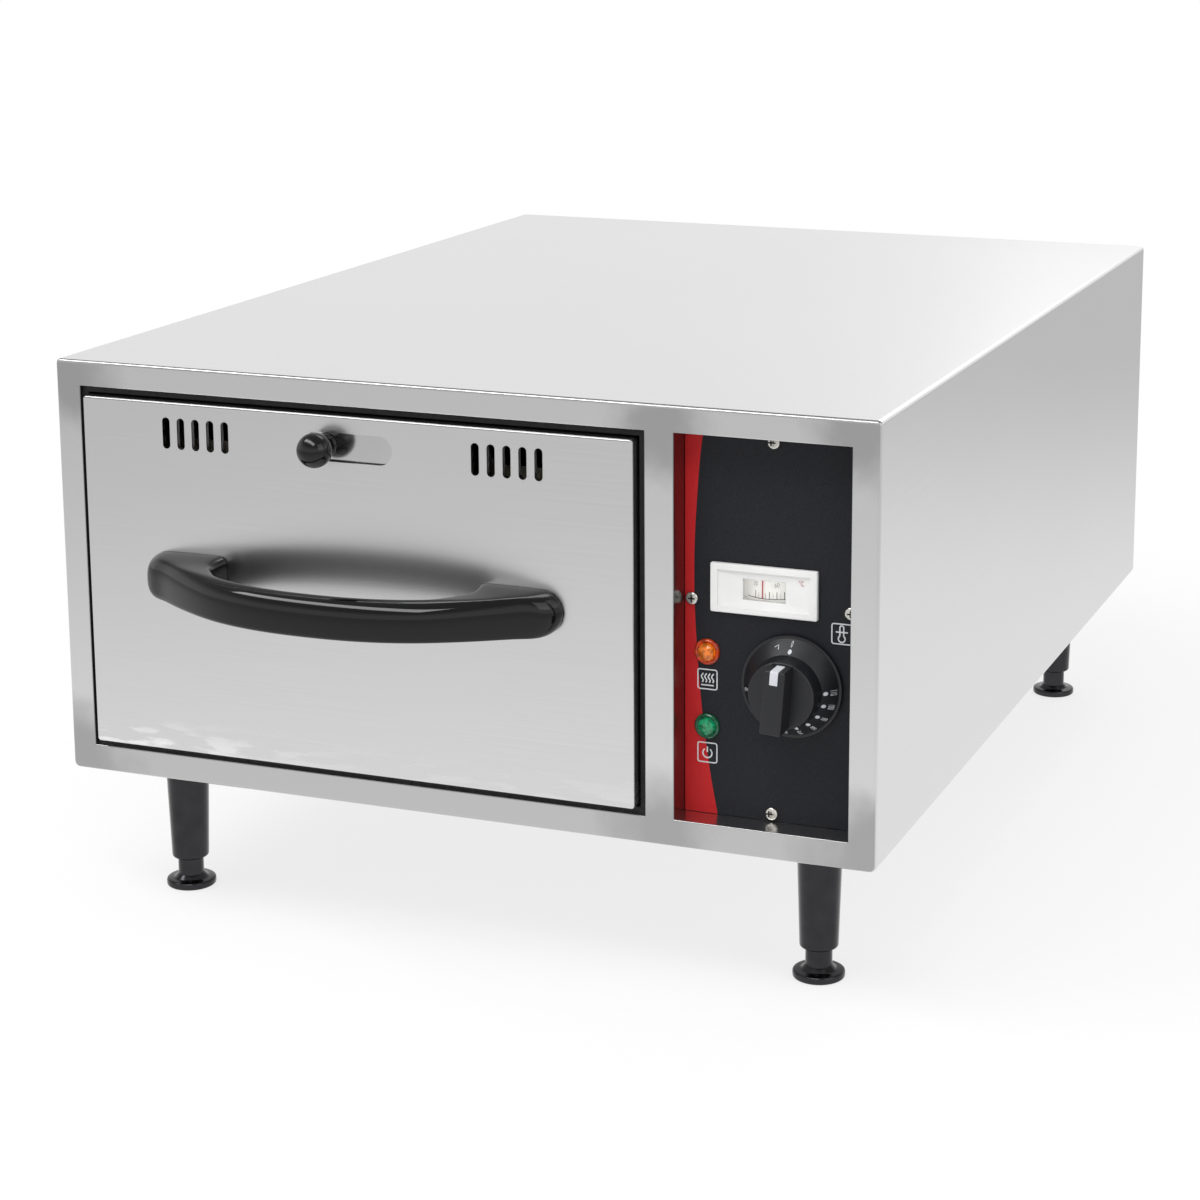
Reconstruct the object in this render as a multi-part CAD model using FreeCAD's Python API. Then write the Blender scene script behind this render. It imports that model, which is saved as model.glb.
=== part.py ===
"""Countertop warming drawer: a heated, insulated stainless bay with one food drawer on telescopic
runners, a recessed control panel beside it, and four levelling legs. Millimetres, +Z up, front to -Y.
The model is drawn with y = 0 on the front frame's face and z = 0 on the worktop; the export moves it
so that the origin lies under the middle of the whole machine."""
import FreeCAD
import Part
import math
import os

# ---------------------------------------------------------------- driving dimensions
# case
CASE_WIDTH = 600.0
CASE_DEPTH = 800.0
CASE_HEIGHT = 298.0
LEG_HEIGHT = 102.0            # worktop to the underside of the case
SHEET = 1.2                   # stainless sheet of the case and drawer front
TOP_BEND = 3.0                # outer bend radius along the case's top edges
BOTTOM_BEND = 4.5
FRONT_BEND = 2.5
FRAME_SKIRT = 10.0            # how far the front frame wraps round the case's edges
SIDE_STILE = 19.0
TOP_RAIL = 18.0
BOTTOM_RAIL = 19.0
MID_STILE = 20.5
PANEL_OPENING = 120.0         # width of the control panel's recess
LIP_DEPTH = 23.2              # folded lips round both openings of the frame
OPENING_EDGE = 0.8            # rounding where a lip turns into the frame's face
BOTTOM_RETURN = 25.0
REAR_FLANGE = 18.0
REAR_PANEL_MARGIN = 7.0
FIT_GAP = 0.3                 # working gap between folded parts that slip into each other

# heated bay
LINER_SHEET = 1.0
REAR_ROOM = 55.0              # liner's back to the case's rear face
SIDE_WOOL = 14.0              # insulation between liner and divider
REAR_WOOL = 30.0
ELEMENT_RADIUS = 4.0
ELEMENT_LIFT = 18.0           # tube axis above the bay floor
ELEMENT_PASSES = 6
ELEMENT_BEND_SHARE = 0.45     # bend radius over the distance between passes
ELEMENT_SIDE_GAP = 51.0       # first and last pass to the bay's side walls
ELEMENT_FRONT = 110.0
ELEMENT_REAR_GAP = 55.0       # rear run to the liner's back
ELEMENT_RUN_GAP = 60.0        # rear run to the turns in front of it
SUPPORT_COUNT = 3
SUPPORT_END_GAP = 90.0        # outermost supports to the element's turns
SUPPORT_OVERHANG = 14.0
SUPPORT_FOOT = 12.0
BRACKET_WIDTH = 14.0
BRACKET_SHEET = 1.5

# drawer
DRAWER_GAP = 5.5              # black joint all round the drawer front
DRAWER_PROUD = 6.0
DRAWER_BOX = 37.0             # thickness of the double-walled drawer front
SEAL_CLEARANCE = 1.2
SEAL_SETBACK = 3.5
DRAWER_TRAVEL = 600.0
RUNNER_STANDOFF = 2.0         # stamped feet that hold the runner off the bay's wall
RUNNER_THICK = 13.0
RUNNER_HEIGHT = 45.0
RUNNER_SHEET = 1.2
RUNNER_SETBACK = 36.0
RUNNER_END_ROOM = 59.0        # runner's end to the liner's back
RUNNER_FOOT = 24.0            # length of a stamped foot
MIDDLE_SETBACK = 8.0          # middle member behind the outer member's front end
MIDDLE_SHORTER = 22.0
CAGE_END_ROOM = 14.0          # free raceway left at each end of a cage, drawer fully out
BALL_GAP = 4.0                # space between two nested members, top and bottom
BALL_RADIUS = 1.7
CAGE_SHEET = 0.6
BALLS_PER_ROW = 5
CARRIER_SHEET = 1.5
CARRIER_APRON = 54.0
PAN_HEADROOM = 65.5           # carrier's top face to the bay's roof
PAN_REAR_MARGIN = 57.0

# food pan, gastronorm 1/1, 150 deep
PAN_LENGTH = 530.0
PAN_WIDTH = 325.0
PAN_DEPTH = 150.0
PAN_SHEET = 1.0
PAN_RIM = 12.5
PAN_RIM_RADIUS = 36.0
PAN_WALL_RADIUS = 29.0
PAN_BOTTOM_RADIUS = 16.0
PAN_DRAFT = 11.0              # how much each wall leans in over the depth
PAN_FRONT_MARGIN = 25.0       # carrier front to pan rim
PAN_OPENING_GAP = 3.0
PAN_LIFT = 50.0

# vents and their damper
VENT_COUNT = 5
VENT_PITCH = 11.4
VENT_WIDTH = 5.8
VENT_LENGTH = 22.0
VENT_OFFSET = 116.5           # middle of the drawer to the middle of a group
VENT_DROP = 21.5              # below the drawer front's upper edge
SLOT_LENGTH = 66.0
SLOT_HEIGHT = 20.0
DAMPER_SETBACK = 3.5
DAMPER_SHEET = 1.0
DAMPER_HEIGHT = 34.0
DAMPER_LAND = 4.0             # plate left beyond the last vent
DAMPER_KNOB_OFFSET = -18.0    # from the middle of the drawer, vents open
DAMPER_BALL_RADIUS = 12.0
DAMPER_BALL_REACH = 13.0      # ball centre in front of the drawer's face
DAMPER_NECK_RADIUS = 5.0

# handle
HANDLE_HALF_SPAN = 156.5      # middle to the outer tip of a foot, on the drawer's face
HANDLE_REACH = 71.0
HANDLE_BOW = 2.4              # 2 would be a parabola; more keeps the middle flatter
HANDLE_THICK = 15.0
HANDLE_HEIGHT = 27.0
HANDLE_EDGE = 3.0             # rounding of the band's front edges
HANDLE_BACK_EDGE = 5.0
HANDLE_FOOT_LENGTH = 62.0
HANDLE_FOOT_HEIGHT = 48.0
HANDLE_RAISE = 4.5            # above the middle of the drawer front
HANDLE_SCREW_RADIUS = 2.5

# control panel
PANEL_SHEET = 1.2
FILM = 0.4                    # printed overlay
TAB_WIDTH = 20.0
TAB_REACH = 12.0
PANEL_SCREW_INSET = 5.5
PANEL_SCREW_OFFSET = 1.5      # top and bottom screws, right of the panel's middle
PANEL_SIDE_SCREW_LEVEL = 166.0
THERMOMETER_WIDTH = 73.5
THERMOMETER_HEIGHT = 33.0
THERMOMETER_X = 55.5          # from the recess's left edge to the bezel's middle
THERMOMETER_LEVEL = 175.5
BEZEL_PROUD = 3.0
BEZEL_BORDER = 5.0
BEZEL_SINK = 2.0
WINDOW_WIDTH = 29.0
WINDOW_HEIGHT = 14.0
DIAL_RADIUS = 22.0
DIAL_HEIGHT = 16.0
NEEDLE_GAP = 0.8
NEEDLE_AT_REST = -6.0         # degrees, to the left of the scale's middle
LAMP_X = 16.0
AMBER_LEVEL = 130.5
GREEN_LEVEL = 79.5
LAMP_RADIUS = 8.8
LAMP_BODY_RADIUS = 6.0
KNOB_X = 75.2
KNOB_LEVEL = 113.7
KNOB_AT_ZERO = 4.3            # degrees clockwise of upright when set to 0
SKIRT_RADIUS = 34.4
SKIRT_LIFT = 1.5              # air between skirt and panel
SKIRT_EDGE = 2.0
SKIRT_LAND = 1.8              # flat rim outside the numbered cone
SKIRT_HEIGHT = 11.5           # the cone rises to the grip at about 45 degrees
GRIP_RADIUS = 24.0
GRIP_TAPER = 1.4              # the grip is this much smaller in radius at its face
GRIP_BODY = 12.5
GRIP_BAR = 17.0               # height of the finger bar above the body
GRIP_BAR_WIDTH = 14.4
GRIP_ROUND = 1.2
POINTER_WIDTH = 5.4
POINTER_LENGTH = 11.0
POINTER_FILM = 0.3
SHAFT_RADIUS = 3.0
SHAFT_FIT = 0.05              # radial running clearance

# legs and feet
LEG_INSET_SIDE = 57.0
LEG_INSET_END = 60.0
LEG_TOP_RADIUS = 16.0
LEG_END_RADIUS = 13.4
FOOT_FLANGE_RADIUS = 18.0
FOOT_FLANGE = 5.5
FOOT_POST_RADIUS = 9.25
FOOT_SHOWN = 16.0             # bare post between flange and leg
FOOT_POST_INSERTION = 42.0
FOOT_TRAVEL_IN = 12.0
LEG_STUD_RADIUS = 5.0
NUT_HEIGHT = 8.0

# rear
GLAND_OUT = 22.0
GLAND_RADIUS = 11.0
GLAND_BORE = 4.6
GLAND_INSET = 75.0            # from the case's right side
GLAND_LEVEL = 48.0
GLAND_NUT = 5.0
LOUVRE_COUNT = 8
LOUVRE_PITCH = 14.0
LOUVRE_LENGTH = 70.0
LOUVRE_HEIGHT = 5.0
LOUVRE_DROP = 50.0            # top slot below the case's top
TERMINAL_LENGTH = 60.0
TERMINAL_WIDTH = 22.0
TERMINAL_HEIGHT = 16.0
TERMINAL_SETBACK = 110.0      # from the rear panel
FEELER_LENGTH = 82.0
FEELER_INSET = 110.0          # feeler's far end to the bay's right wall
FEELER_RADIUS = 3.0
FEELER_DROP = 7.0             # below the bay's roof
SCREW_RADIUS = 2.0
SCREW_HEAD_RADIUS = 4.4
SCREW_HEAD = 2.4
SCREW_LENGTH = 10.0

# ---------------------------------------------------------------- places worked out from them
CASE_LEFT = -CASE_WIDTH / 2
CASE_RIGHT = CASE_WIDTH / 2
CASE_BOTTOM = LEG_HEIGHT
CASE_TOP = LEG_HEIGHT + CASE_HEIGHT
REAR_FACE = CASE_DEPTH - SHEET                 # where the rear panel lies on the wrap
FLOOR_TOP = CASE_BOTTOM + 2 * SHEET            # top of the bottom plate
ROOF_UNDER = CASE_TOP - SHEET

PANEL_X1 = CASE_RIGHT - SIDE_STILE
PANEL_X0 = PANEL_X1 - PANEL_OPENING
BAY_X0 = CASE_LEFT + SIDE_STILE
BAY_X1 = PANEL_X0 - MID_STILE
BAY_Z0 = CASE_BOTTOM + BOTTOM_RAIL
BAY_Z1 = CASE_TOP - TOP_RAIL
BAY_MIDDLE = (BAY_X0 + BAY_X1) / 2
DIVIDER_X = BAY_X1 + LINER_SHEET + SIDE_WOOL
DIVIDER_SHEET = LINER_SHEET

FRONT_FACE = -DRAWER_PROUD                     # the drawer's face
DRAWER_BACK = FRONT_FACE + DRAWER_BOX
LINER_BACK = CASE_DEPTH - REAR_ROOM
ELEMENT_REAR = LINER_BACK - ELEMENT_REAR_GAP
ELEMENT_TURN = ELEMENT_REAR - ELEMENT_RUN_GAP
ELEMENT_PITCH = (BAY_X1 - BAY_X0 - 2 * ELEMENT_SIDE_GAP) / (ELEMENT_PASSES - 1)
ELEMENT_BEND = ELEMENT_PITCH * ELEMENT_BEND_SHARE
DRAWER_X0 = BAY_X0 + DRAWER_GAP
DRAWER_X1 = BAY_X1 - DRAWER_GAP
DRAWER_Z0 = BAY_Z0 + DRAWER_GAP
DRAWER_Z1 = BAY_Z1 - DRAWER_GAP
SKIN_BACK = FRONT_FACE + SHEET

CARRIER_TOP = BAY_Z1 - PAN_HEADROOM
CARRIER_LENGTH = PAN_FRONT_MARGIN + PAN_LENGTH + PAN_REAR_MARGIN
RUNNER_LENGTH = LINER_BACK - RUNNER_END_ROOM - RUNNER_SETBACK
RUNNER_X0 = BAY_X0 + RUNNER_STANDOFF
CARRIER_X0 = RUNNER_X0 + RUNNER_THICK
CARRIER_X1 = BAY_X1 - RUNNER_STANDOFF - RUNNER_THICK
CARRIER_END = DRAWER_BACK + CARRIER_LENGTH
RUNNER_LEVEL = CARRIER_TOP - CARRIER_SHEET - CARRIER_APRON / 2
PAN_MIDDLE = DRAWER_BACK + PAN_FRONT_MARGIN + PAN_LENGTH / 2

VENT_Z = DRAWER_Z1 - VENT_DROP
HANDLE_Z = (DRAWER_Z0 + DRAWER_Z1) / 2 + HANDLE_RAISE
GLAND_X = CASE_RIGHT - GLAND_INSET
DAMPER_TRAVEL = (VENT_COUNT - 1.5) * VENT_PITCH
DAMPER_FACE = FRONT_FACE + DAMPER_SETBACK
VENT_REACH = VENT_OFFSET + (VENT_COUNT - 1) / 2 * VENT_PITCH + VENT_WIDTH / 2
DAMPER_X1 = BAY_MIDDLE + VENT_REACH + DAMPER_LAND
DAMPER_X0 = BAY_MIDDLE - VENT_REACH - DAMPER_LAND - DAMPER_TRAVEL

PANEL_FRONT = LIP_DEPTH - SHEET - PANEL_SHEET  # the panel sheet's face
FILM_FRONT = PANEL_FRONT - FILM
KNOB_AXIS_X = PANEL_X0 + KNOB_X
KNOB_AXIS_Z = CASE_BOTTOM + KNOB_LEVEL
DIAL_X = PANEL_X0 + THERMOMETER_X
DIAL_Z = CASE_BOTTOM + THERMOMETER_LEVEL
BEZEL_FRONT = FILM_FRONT - BEZEL_PROUD
PANE_FRONT = BEZEL_FRONT + BEZEL_SINK
DIAL_AXIS_Y = PANE_FRONT + 4.5 + DIAL_RADIUS
LEG_END = FOOT_FLANGE + FOOT_SHOWN

HANDLE_OUT = HANDLE_REACH + DRAWER_PROUD
FORE_AFT_SHIFT = (HANDLE_OUT - CASE_DEPTH - GLAND_OUT) / 2

parts = {}


# ---------------------------------------------------------------- small modelling helpers
def vec(x, y, z):
    return FreeCAD.Vector(x, y, z)


def box(x0, x1, y0, y1, z0, z1):
    return Part.makeBox(x1 - x0, y1 - y0, z1 - z0, vec(x0, y0, z0))


def rod(radius, x, y, z, length, axis=(0, 1, 0)):
    """Cylinder that starts at a point and runs along an axis."""
    return Part.makeCylinder(radius, length, vec(x, y, z), vec(*axis))


def joined(shapes):
    whole = shapes[0]
    for shape in shapes[1:]:
        whole = whole.fuse(shape)
    return whole.removeSplitter()


def rounded_wire(a0, a1, b0, b1, radii, place):
    """Outline of a rectangle with rounded corners; place maps its two coordinates to a point."""
    corners = ((a0, b0, 1, 1), (a1, b0, -1, 1), (a1, b1, -1, -1), (a0, b1, 1, -1))
    arcs = []
    for index, ((a, b, step_a, step_b), radius) in enumerate(zip(corners, radii)):
        along_b = place(a, b + step_b * radius)
        along_a = place(a + step_a * radius, b)
        bulge = radius * (1 - math.sqrt(0.5))
        middle = place(a + step_a * bulge, b + step_b * bulge)
        first, last = (along_b, along_a) if index % 2 == 0 else (along_a, along_b)
        arcs.append((first, middle, last))
    edges = []
    for index, (first, middle, last) in enumerate(arcs):
        edges.append(Part.Arc(first, middle, last).toShape())
        following = arcs[(index + 1) % 4][0]
        edges.append(Part.LineSegment(last, following).toShape())
    return Part.Wire(edges)


def front_plate(x0, x1, z0, z1, y0, y1, radius):
    """Plate seen square on from the front, with rounded corners."""
    wire = rounded_wire(x0, x1, z0, z1, (radius,) * 4, lambda a, b: vec(a, y0, b))
    return Part.Face(wire).extrude(vec(0, y1 - y0, 0))


def flat_outline(x0, x1, y0, y1, z, radius):
    return rounded_wire(x0, x1, y0, y1, (radius,) * 4, lambda a, b: vec(a, b, z))


def obround(x, z, width, height, y0, y1):
    """Slot with round ends, cut from front to back."""
    radius = min(width, height) / 2 - 0.001
    return front_plate(x - width / 2, x + width / 2, z - height / 2, z + height / 2, y0, y1, radius)


def edges_at(shape, test):
    """Edges whose middle point passes the test."""
    found = []
    for edge in shape.Edges:
        middle = edge.valueAt((edge.FirstParameter + edge.LastParameter) / 2)
        if test(middle):
            found.append(edge)
    return found


def near(a, b):
    return abs(a - b) < 0.01


def mirrored(shape, x):
    """The same piece on the other side of the upright plane at x."""
    return shape.mirror(vec(x, 0, 0), vec(1, 0, 0))


def turned(profile, x, z):
    """Solid turned about a fore-and-aft axis; the profile lists (radius, y)."""
    points = [vec(x + radius, y, z) for radius, y in profile]
    face = Part.Face(Part.makePolygon(points + points[:1]))
    return face.revolve(vec(x, 0, z), vec(0, 1, 0), 360)


def hex_bar(across, x, y, z, length, axis=(0, 1, 0)):
    """Hexagonal bar, as a nut's body."""
    corner = across / math.sqrt(3)
    direction = vec(*axis)
    side = vec(0, 0, 1) if axis[2] == 0 else vec(1, 0, 0)
    other = direction.cross(side)
    points = []
    for step in range(7):
        angle = math.radians(60 * step)
        points.append(vec(x, y, z) + side * (corner * math.cos(angle)) + other * (corner * math.sin(angle)))
    return Part.Face(Part.makePolygon(points)).extrude(direction * length)


def bent_tube(points, bend, radius):
    """Round tube along straight runs joined by tangent arcs."""
    corners = [vec(*p) for p in points]
    edges = []
    start = corners[0]
    for before, corner, after in zip(corners, corners[1:], corners[2:]):
        to_before = (before - corner).normalize()
        to_after = (after - corner).normalize()
        half = to_before.getAngle(to_after) / 2
        reach = bend / math.tan(half)
        first = corner + to_before * reach
        last = corner + to_after * reach
        inward = (to_before + to_after).normalize()
        middle = corner + inward * (bend / math.sin(half) - bend)
        edges.append(Part.LineSegment(start, first).toShape())
        edges.append(Part.Arc(first, middle, last).toShape())
        start = last
    edges.append(Part.LineSegment(start, corners[-1]).toShape())
    circle = Part.makeCircle(radius, corners[0], corners[1] - corners[0])
    return Part.Wire(edges).makePipeShell([Part.Wire(circle)], True, False)


def pan_head_screw(x, y, z, length, facing=-1):
    """Pan-head screw with a cross recess. Its head stands from y towards facing; the shank goes in."""
    head = rod(SCREW_HEAD_RADIUS, x, y, z, SCREW_HEAD, (0, facing, 0))
    crown = edges_at(head, lambda p: near(p.y, y + facing * SCREW_HEAD))
    head = head.makeFillet(SCREW_HEAD * 0.6, crown)
    arm = SCREW_HEAD_RADIUS * 0.55
    depth = sorted((y + facing * SCREW_HEAD * 0.4, y + facing * (SCREW_HEAD + 1)))
    for half_x, half_z in ((arm, 0.5), (0.5, arm)):
        head = head.cut(box(x - half_x, x + half_x, depth[0], depth[1], z - half_z, z + half_z))
    return head.fuse(rod(SCREW_RADIUS, x, y, z, length, (0, -facing, 0)))


# ---------------------------------------------------------------- case
def case_outline(inset, y0, y1):
    """The case's rounded cross-section, shrunk by inset and drawn out from y0 to y1."""
    top = TOP_BEND - inset
    bottom = BOTTOM_BEND - inset
    wire = rounded_wire(CASE_LEFT + inset, CASE_RIGHT - inset, CASE_BOTTOM + inset, CASE_TOP - inset,
                        (bottom, bottom, top, top), lambda a, b: vec(a, y0, b))
    return Part.Face(wire).extrude(vec(0, y1 - y0, 0))


def panel_screw_places():
    """The four screws of the control panel: top, bottom, left and right."""
    middle = (PANEL_X0 + PANEL_X1) / 2 + PANEL_SCREW_OFFSET
    side_z = CASE_BOTTOM + PANEL_SIDE_SCREW_LEVEL
    return ((middle, BAY_Z1 - PANEL_SCREW_INSET, 0, 1), (middle, BAY_Z0 + PANEL_SCREW_INSET, 0, -1),
            (PANEL_X0 + PANEL_SCREW_INSET, side_z, -1, 0), (PANEL_X1 - PANEL_SCREW_INSET, side_z, 1, 0))


def panel_tab(x, z, side_x, side_z):
    """Ear folded in from the lip behind the control panel, for one screw."""
    wide = TAB_WIDTH / 2
    to_edge = PANEL_SCREW_INSET + SHEET / 2
    back = TAB_REACH - PANEL_SCREW_INSET
    if side_x:
        x0, x1 = sorted((x + side_x * to_edge, x - side_x * back))
        ear = box(x0, x1, LIP_DEPTH - SHEET, LIP_DEPTH, z - wide, z + wide)
    else:
        z0, z1 = sorted((z + side_z * to_edge, z - side_z * back))
        ear = box(x - wide, x + wide, LIP_DEPTH - SHEET, LIP_DEPTH, z0, z1)
    return ear.cut(rod(SCREW_RADIUS + 0.1, x, 0, z, LIP_DEPTH + 1))


def make_front_frame():
    """Face frame folded from one sheet: stiles and rails, with lips turned in round both openings."""
    outer = case_outline(0, 0, FRAME_SKIRT)
    outer = outer.makeFillet(FRONT_BEND, edges_at(outer, lambda p: near(p.y, 0)))
    inner = case_outline(SHEET, SHEET, FRAME_SKIRT + 1)
    inner = inner.makeFillet(FRONT_BEND - SHEET, edges_at(inner, lambda p: near(p.y, SHEET)))
    frame = outer.cut(inner)
    for x0, x1 in ((BAY_X0, BAY_X1), (PANEL_X0, PANEL_X1)):
        frame = frame.fuse(box(x0 - SHEET, x1 + SHEET, 0, LIP_DEPTH, BAY_Z0 - SHEET, BAY_Z1 + SHEET))
    for x0, x1 in ((BAY_X0, BAY_X1), (PANEL_X0, PANEL_X1)):
        frame = frame.cut(box(x0, x1, -1, LIP_DEPTH + 1, BAY_Z0, BAY_Z1))
    frame = frame.removeSplitter()

    def on_opening(p):
        inside_x = BAY_X0 - 0.1 < p.x < PANEL_X1 + 0.1
        return near(p.y, 0) and inside_x and BAY_Z0 - 0.1 < p.z < BAY_Z1 + 0.1
    frame = frame.makeFillet(OPENING_EDGE, edges_at(frame, on_opening))
    tabs = [panel_tab(*place) for place in panel_screw_places()]
    parts["front_frame"] = joined([frame] + tabs)


def make_case_wrap():
    """Top and two sides from one sheet, turned in along the bottom and round the back."""
    wrap = case_outline(0, FRAME_SKIRT, REAR_FACE).cut(case_outline(SHEET, 0, CASE_DEPTH))
    gap = box(CASE_LEFT + BOTTOM_RETURN, CASE_RIGHT - BOTTOM_RETURN, 0, CASE_DEPTH,
              CASE_BOTTOM - 1, CASE_BOTTOM + SHEET + 1)
    wrap = wrap.cut(gap)
    flange = case_outline(0, REAR_FACE - SHEET, REAR_FACE)
    flange = flange.cut(box(CASE_LEFT + REAR_FLANGE, CASE_RIGHT - REAR_FLANGE, 0, CASE_DEPTH,
                            CASE_BOTTOM - 1, CASE_TOP - REAR_FLANGE))
    parts["case_wrap"] = joined([wrap, flange])


def leg_places():
    x = CASE_RIGHT - LEG_INSET_SIDE
    front, rear = LEG_INSET_END, CASE_DEPTH - LEG_INSET_END
    return {"fl": (-x, front), "fr": (x, front), "rl": (-x, rear), "rr": (x, rear)}


def make_bottom_plate():
    """Floor of the case, on the wrap's turned-in edges, with an upstand for the rear panel."""
    x1 = CASE_RIGHT - BOTTOM_BEND - FIT_GAP
    plate = box(-x1, x1, FRONT_BEND + FIT_GAP, REAR_FACE - SHEET - FIT_GAP, CASE_BOTTOM + SHEET, FLOOR_TOP)
    x2 = CASE_RIGHT - REAR_FLANGE - FIT_GAP
    bridge = box(-x2, x2, REAR_FACE - 3 * SHEET, REAR_FACE, CASE_BOTTOM + SHEET, FLOOR_TOP)
    upstand = box(-x2, x2, REAR_FACE - SHEET, REAR_FACE, CASE_BOTTOM + SHEET, CASE_BOTTOM + REAR_FLANGE)
    plate = joined([plate, bridge, upstand])
    for x, y in leg_places().values():
        plate = plate.cut(rod(LEG_STUD_RADIUS + FIT_GAP, x, y, CASE_BOTTOM, 5, (0, 0, 1)))
    parts["bottom_plate"] = plate


def rear_screw_places():
    """Screws round the rear panel, on the wrap's flange and the floor's upstand."""
    edge = (REAR_FLANGE + REAR_PANEL_MARGIN) / 2
    left, right = CASE_LEFT + edge, CASE_RIGHT - edge
    low, high = CASE_BOTTOM + edge, CASE_TOP - edge
    middle_z = (CASE_BOTTOM + CASE_TOP) / 2
    places = [(left, high), (0, high), (right, high), (left, middle_z), (right, middle_z)]
    inset = REAR_FLANGE + 12
    return places + [(CASE_LEFT + inset, low), (0, low), (CASE_RIGHT - inset, low)]


def make_rear_panel():
    """Flat rear panel with a cable hole and cooling slots for the control side."""
    m = REAR_PANEL_MARGIN
    panel = front_plate(CASE_LEFT + m, CASE_RIGHT - m, CASE_BOTTOM + m, CASE_TOP - m, REAR_FACE, CASE_DEPTH, 3)
    panel = panel.cut(rod(GLAND_RADIUS - 3, GLAND_X, REAR_FACE - 1, CASE_BOTTOM + GLAND_LEVEL, 5))
    for row in range(LOUVRE_COUNT):
        z = CASE_TOP - LOUVRE_DROP - row * LOUVRE_PITCH
        panel = panel.cut(obround(GLAND_X, z, LOUVRE_LENGTH, LOUVRE_HEIGHT, REAR_FACE - 1, CASE_DEPTH + 1))
    screws = []
    for x, z in rear_screw_places():
        panel = panel.cut(rod(SCREW_RADIUS + 0.1, x, REAR_FACE - 1, z, 5))
        screws.append(pan_head_screw(x, CASE_DEPTH, z, SHEET * 2 + 6, facing=1))
    parts["rear_panel"] = panel
    parts["rear_screws"] = Part.makeCompound(screws)
    for name in ("case_wrap", "bottom_plate"):
        for x, z in rear_screw_places():
            parts[name] = parts[name].cut(rod(SCREW_RADIUS + 0.1, x, REAR_FACE - 4, z, 5))


def make_cable_gland():
    """Supply cable inlet: gland body with a domed cap outside and a lock nut inside."""
    z = CASE_BOTTOM + GLAND_LEVEL
    neck = GLAND_RADIUS - 3
    cap_end = CASE_DEPTH + GLAND_OUT
    profile = [(GLAND_BORE, REAR_FACE - 10), (neck - 0.1, REAR_FACE - 10), (neck - 0.1, CASE_DEPTH),
               (GLAND_RADIUS, CASE_DEPTH), (GLAND_RADIUS, CASE_DEPTH + 9), (GLAND_RADIUS - 1, CASE_DEPTH + 10),
               (GLAND_RADIUS - 1, cap_end - 6), (GLAND_BORE + 1.5, cap_end), (GLAND_BORE, cap_end)]
    body = turned(profile, GLAND_X, z)
    grip = hex_bar(2 * GLAND_RADIUS + 2, GLAND_X, CASE_DEPTH, z, 6)
    body = body.fuse(grip).cut(rod(GLAND_BORE, GLAND_X, REAR_FACE - 20, z, GLAND_OUT + 40))
    parts["cable_gland"] = body.removeSplitter()
    nut = hex_bar(2 * GLAND_RADIUS, GLAND_X, REAR_FACE - GLAND_NUT, z, GLAND_NUT)
    parts["gland_nut"] = nut.cut(rod(neck, GLAND_X, REAR_FACE - 20, z, 40))


def make_divider():
    """Wall between the heated bay and the control compartment, flanged along its foot."""
    front, back = LIP_DEPTH + FIT_GAP, REAR_FACE - SHEET - 2 * FIT_GAP
    wall = box(DIVIDER_X, DIVIDER_X + DIVIDER_SHEET, front, back, FLOOR_TOP, ROOF_UNDER)
    foot = box(DIVIDER_X, DIVIDER_X + 15, front, back, FLOOR_TOP, FLOOR_TOP + DIVIDER_SHEET)
    wall = joined([wall, foot])
    for x, y, z, radius in wall_holes():
        wall = wall.cut(rod(radius, DIVIDER_X - 1, y, z, 5, (1, 0, 0)))
    parts["divider_wall"] = wall


def wall_holes():
    """Holes through the bay's right wall and the divider: two element ends and two feelers."""
    element_z = BAY_Z0 + ELEMENT_LIFT
    feeler_z = BAY_Z1 - FEELER_DROP
    return ((BAY_X1, ELEMENT_TURN, element_z, ELEMENT_RADIUS + 2.5),
            (BAY_X1, ELEMENT_REAR, element_z, ELEMENT_RADIUS + 2.5),
            (BAY_X1, ELEMENT_REAR + 15, feeler_z, 3.5), (BAY_X1, ELEMENT_REAR + 33, feeler_z, 3.5))


def make_bay_liner():
    """Inner box of the heated bay, open at the front."""
    t = LINER_SHEET
    liner = box(BAY_X0 - t, BAY_X1 + t, LIP_DEPTH, LINER_BACK, BAY_Z0 - t, BAY_Z1 + t)
    liner = liner.cut(box(BAY_X0, BAY_X1, LIP_DEPTH - 1, LINER_BACK - t, BAY_Z0, BAY_Z1))
    for x, y, z, radius in wall_holes():
        liner = liner.cut(rod(radius, x - 1, y, z, 5, (1, 0, 0)))
    parts["bay_liner"] = liner


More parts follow.
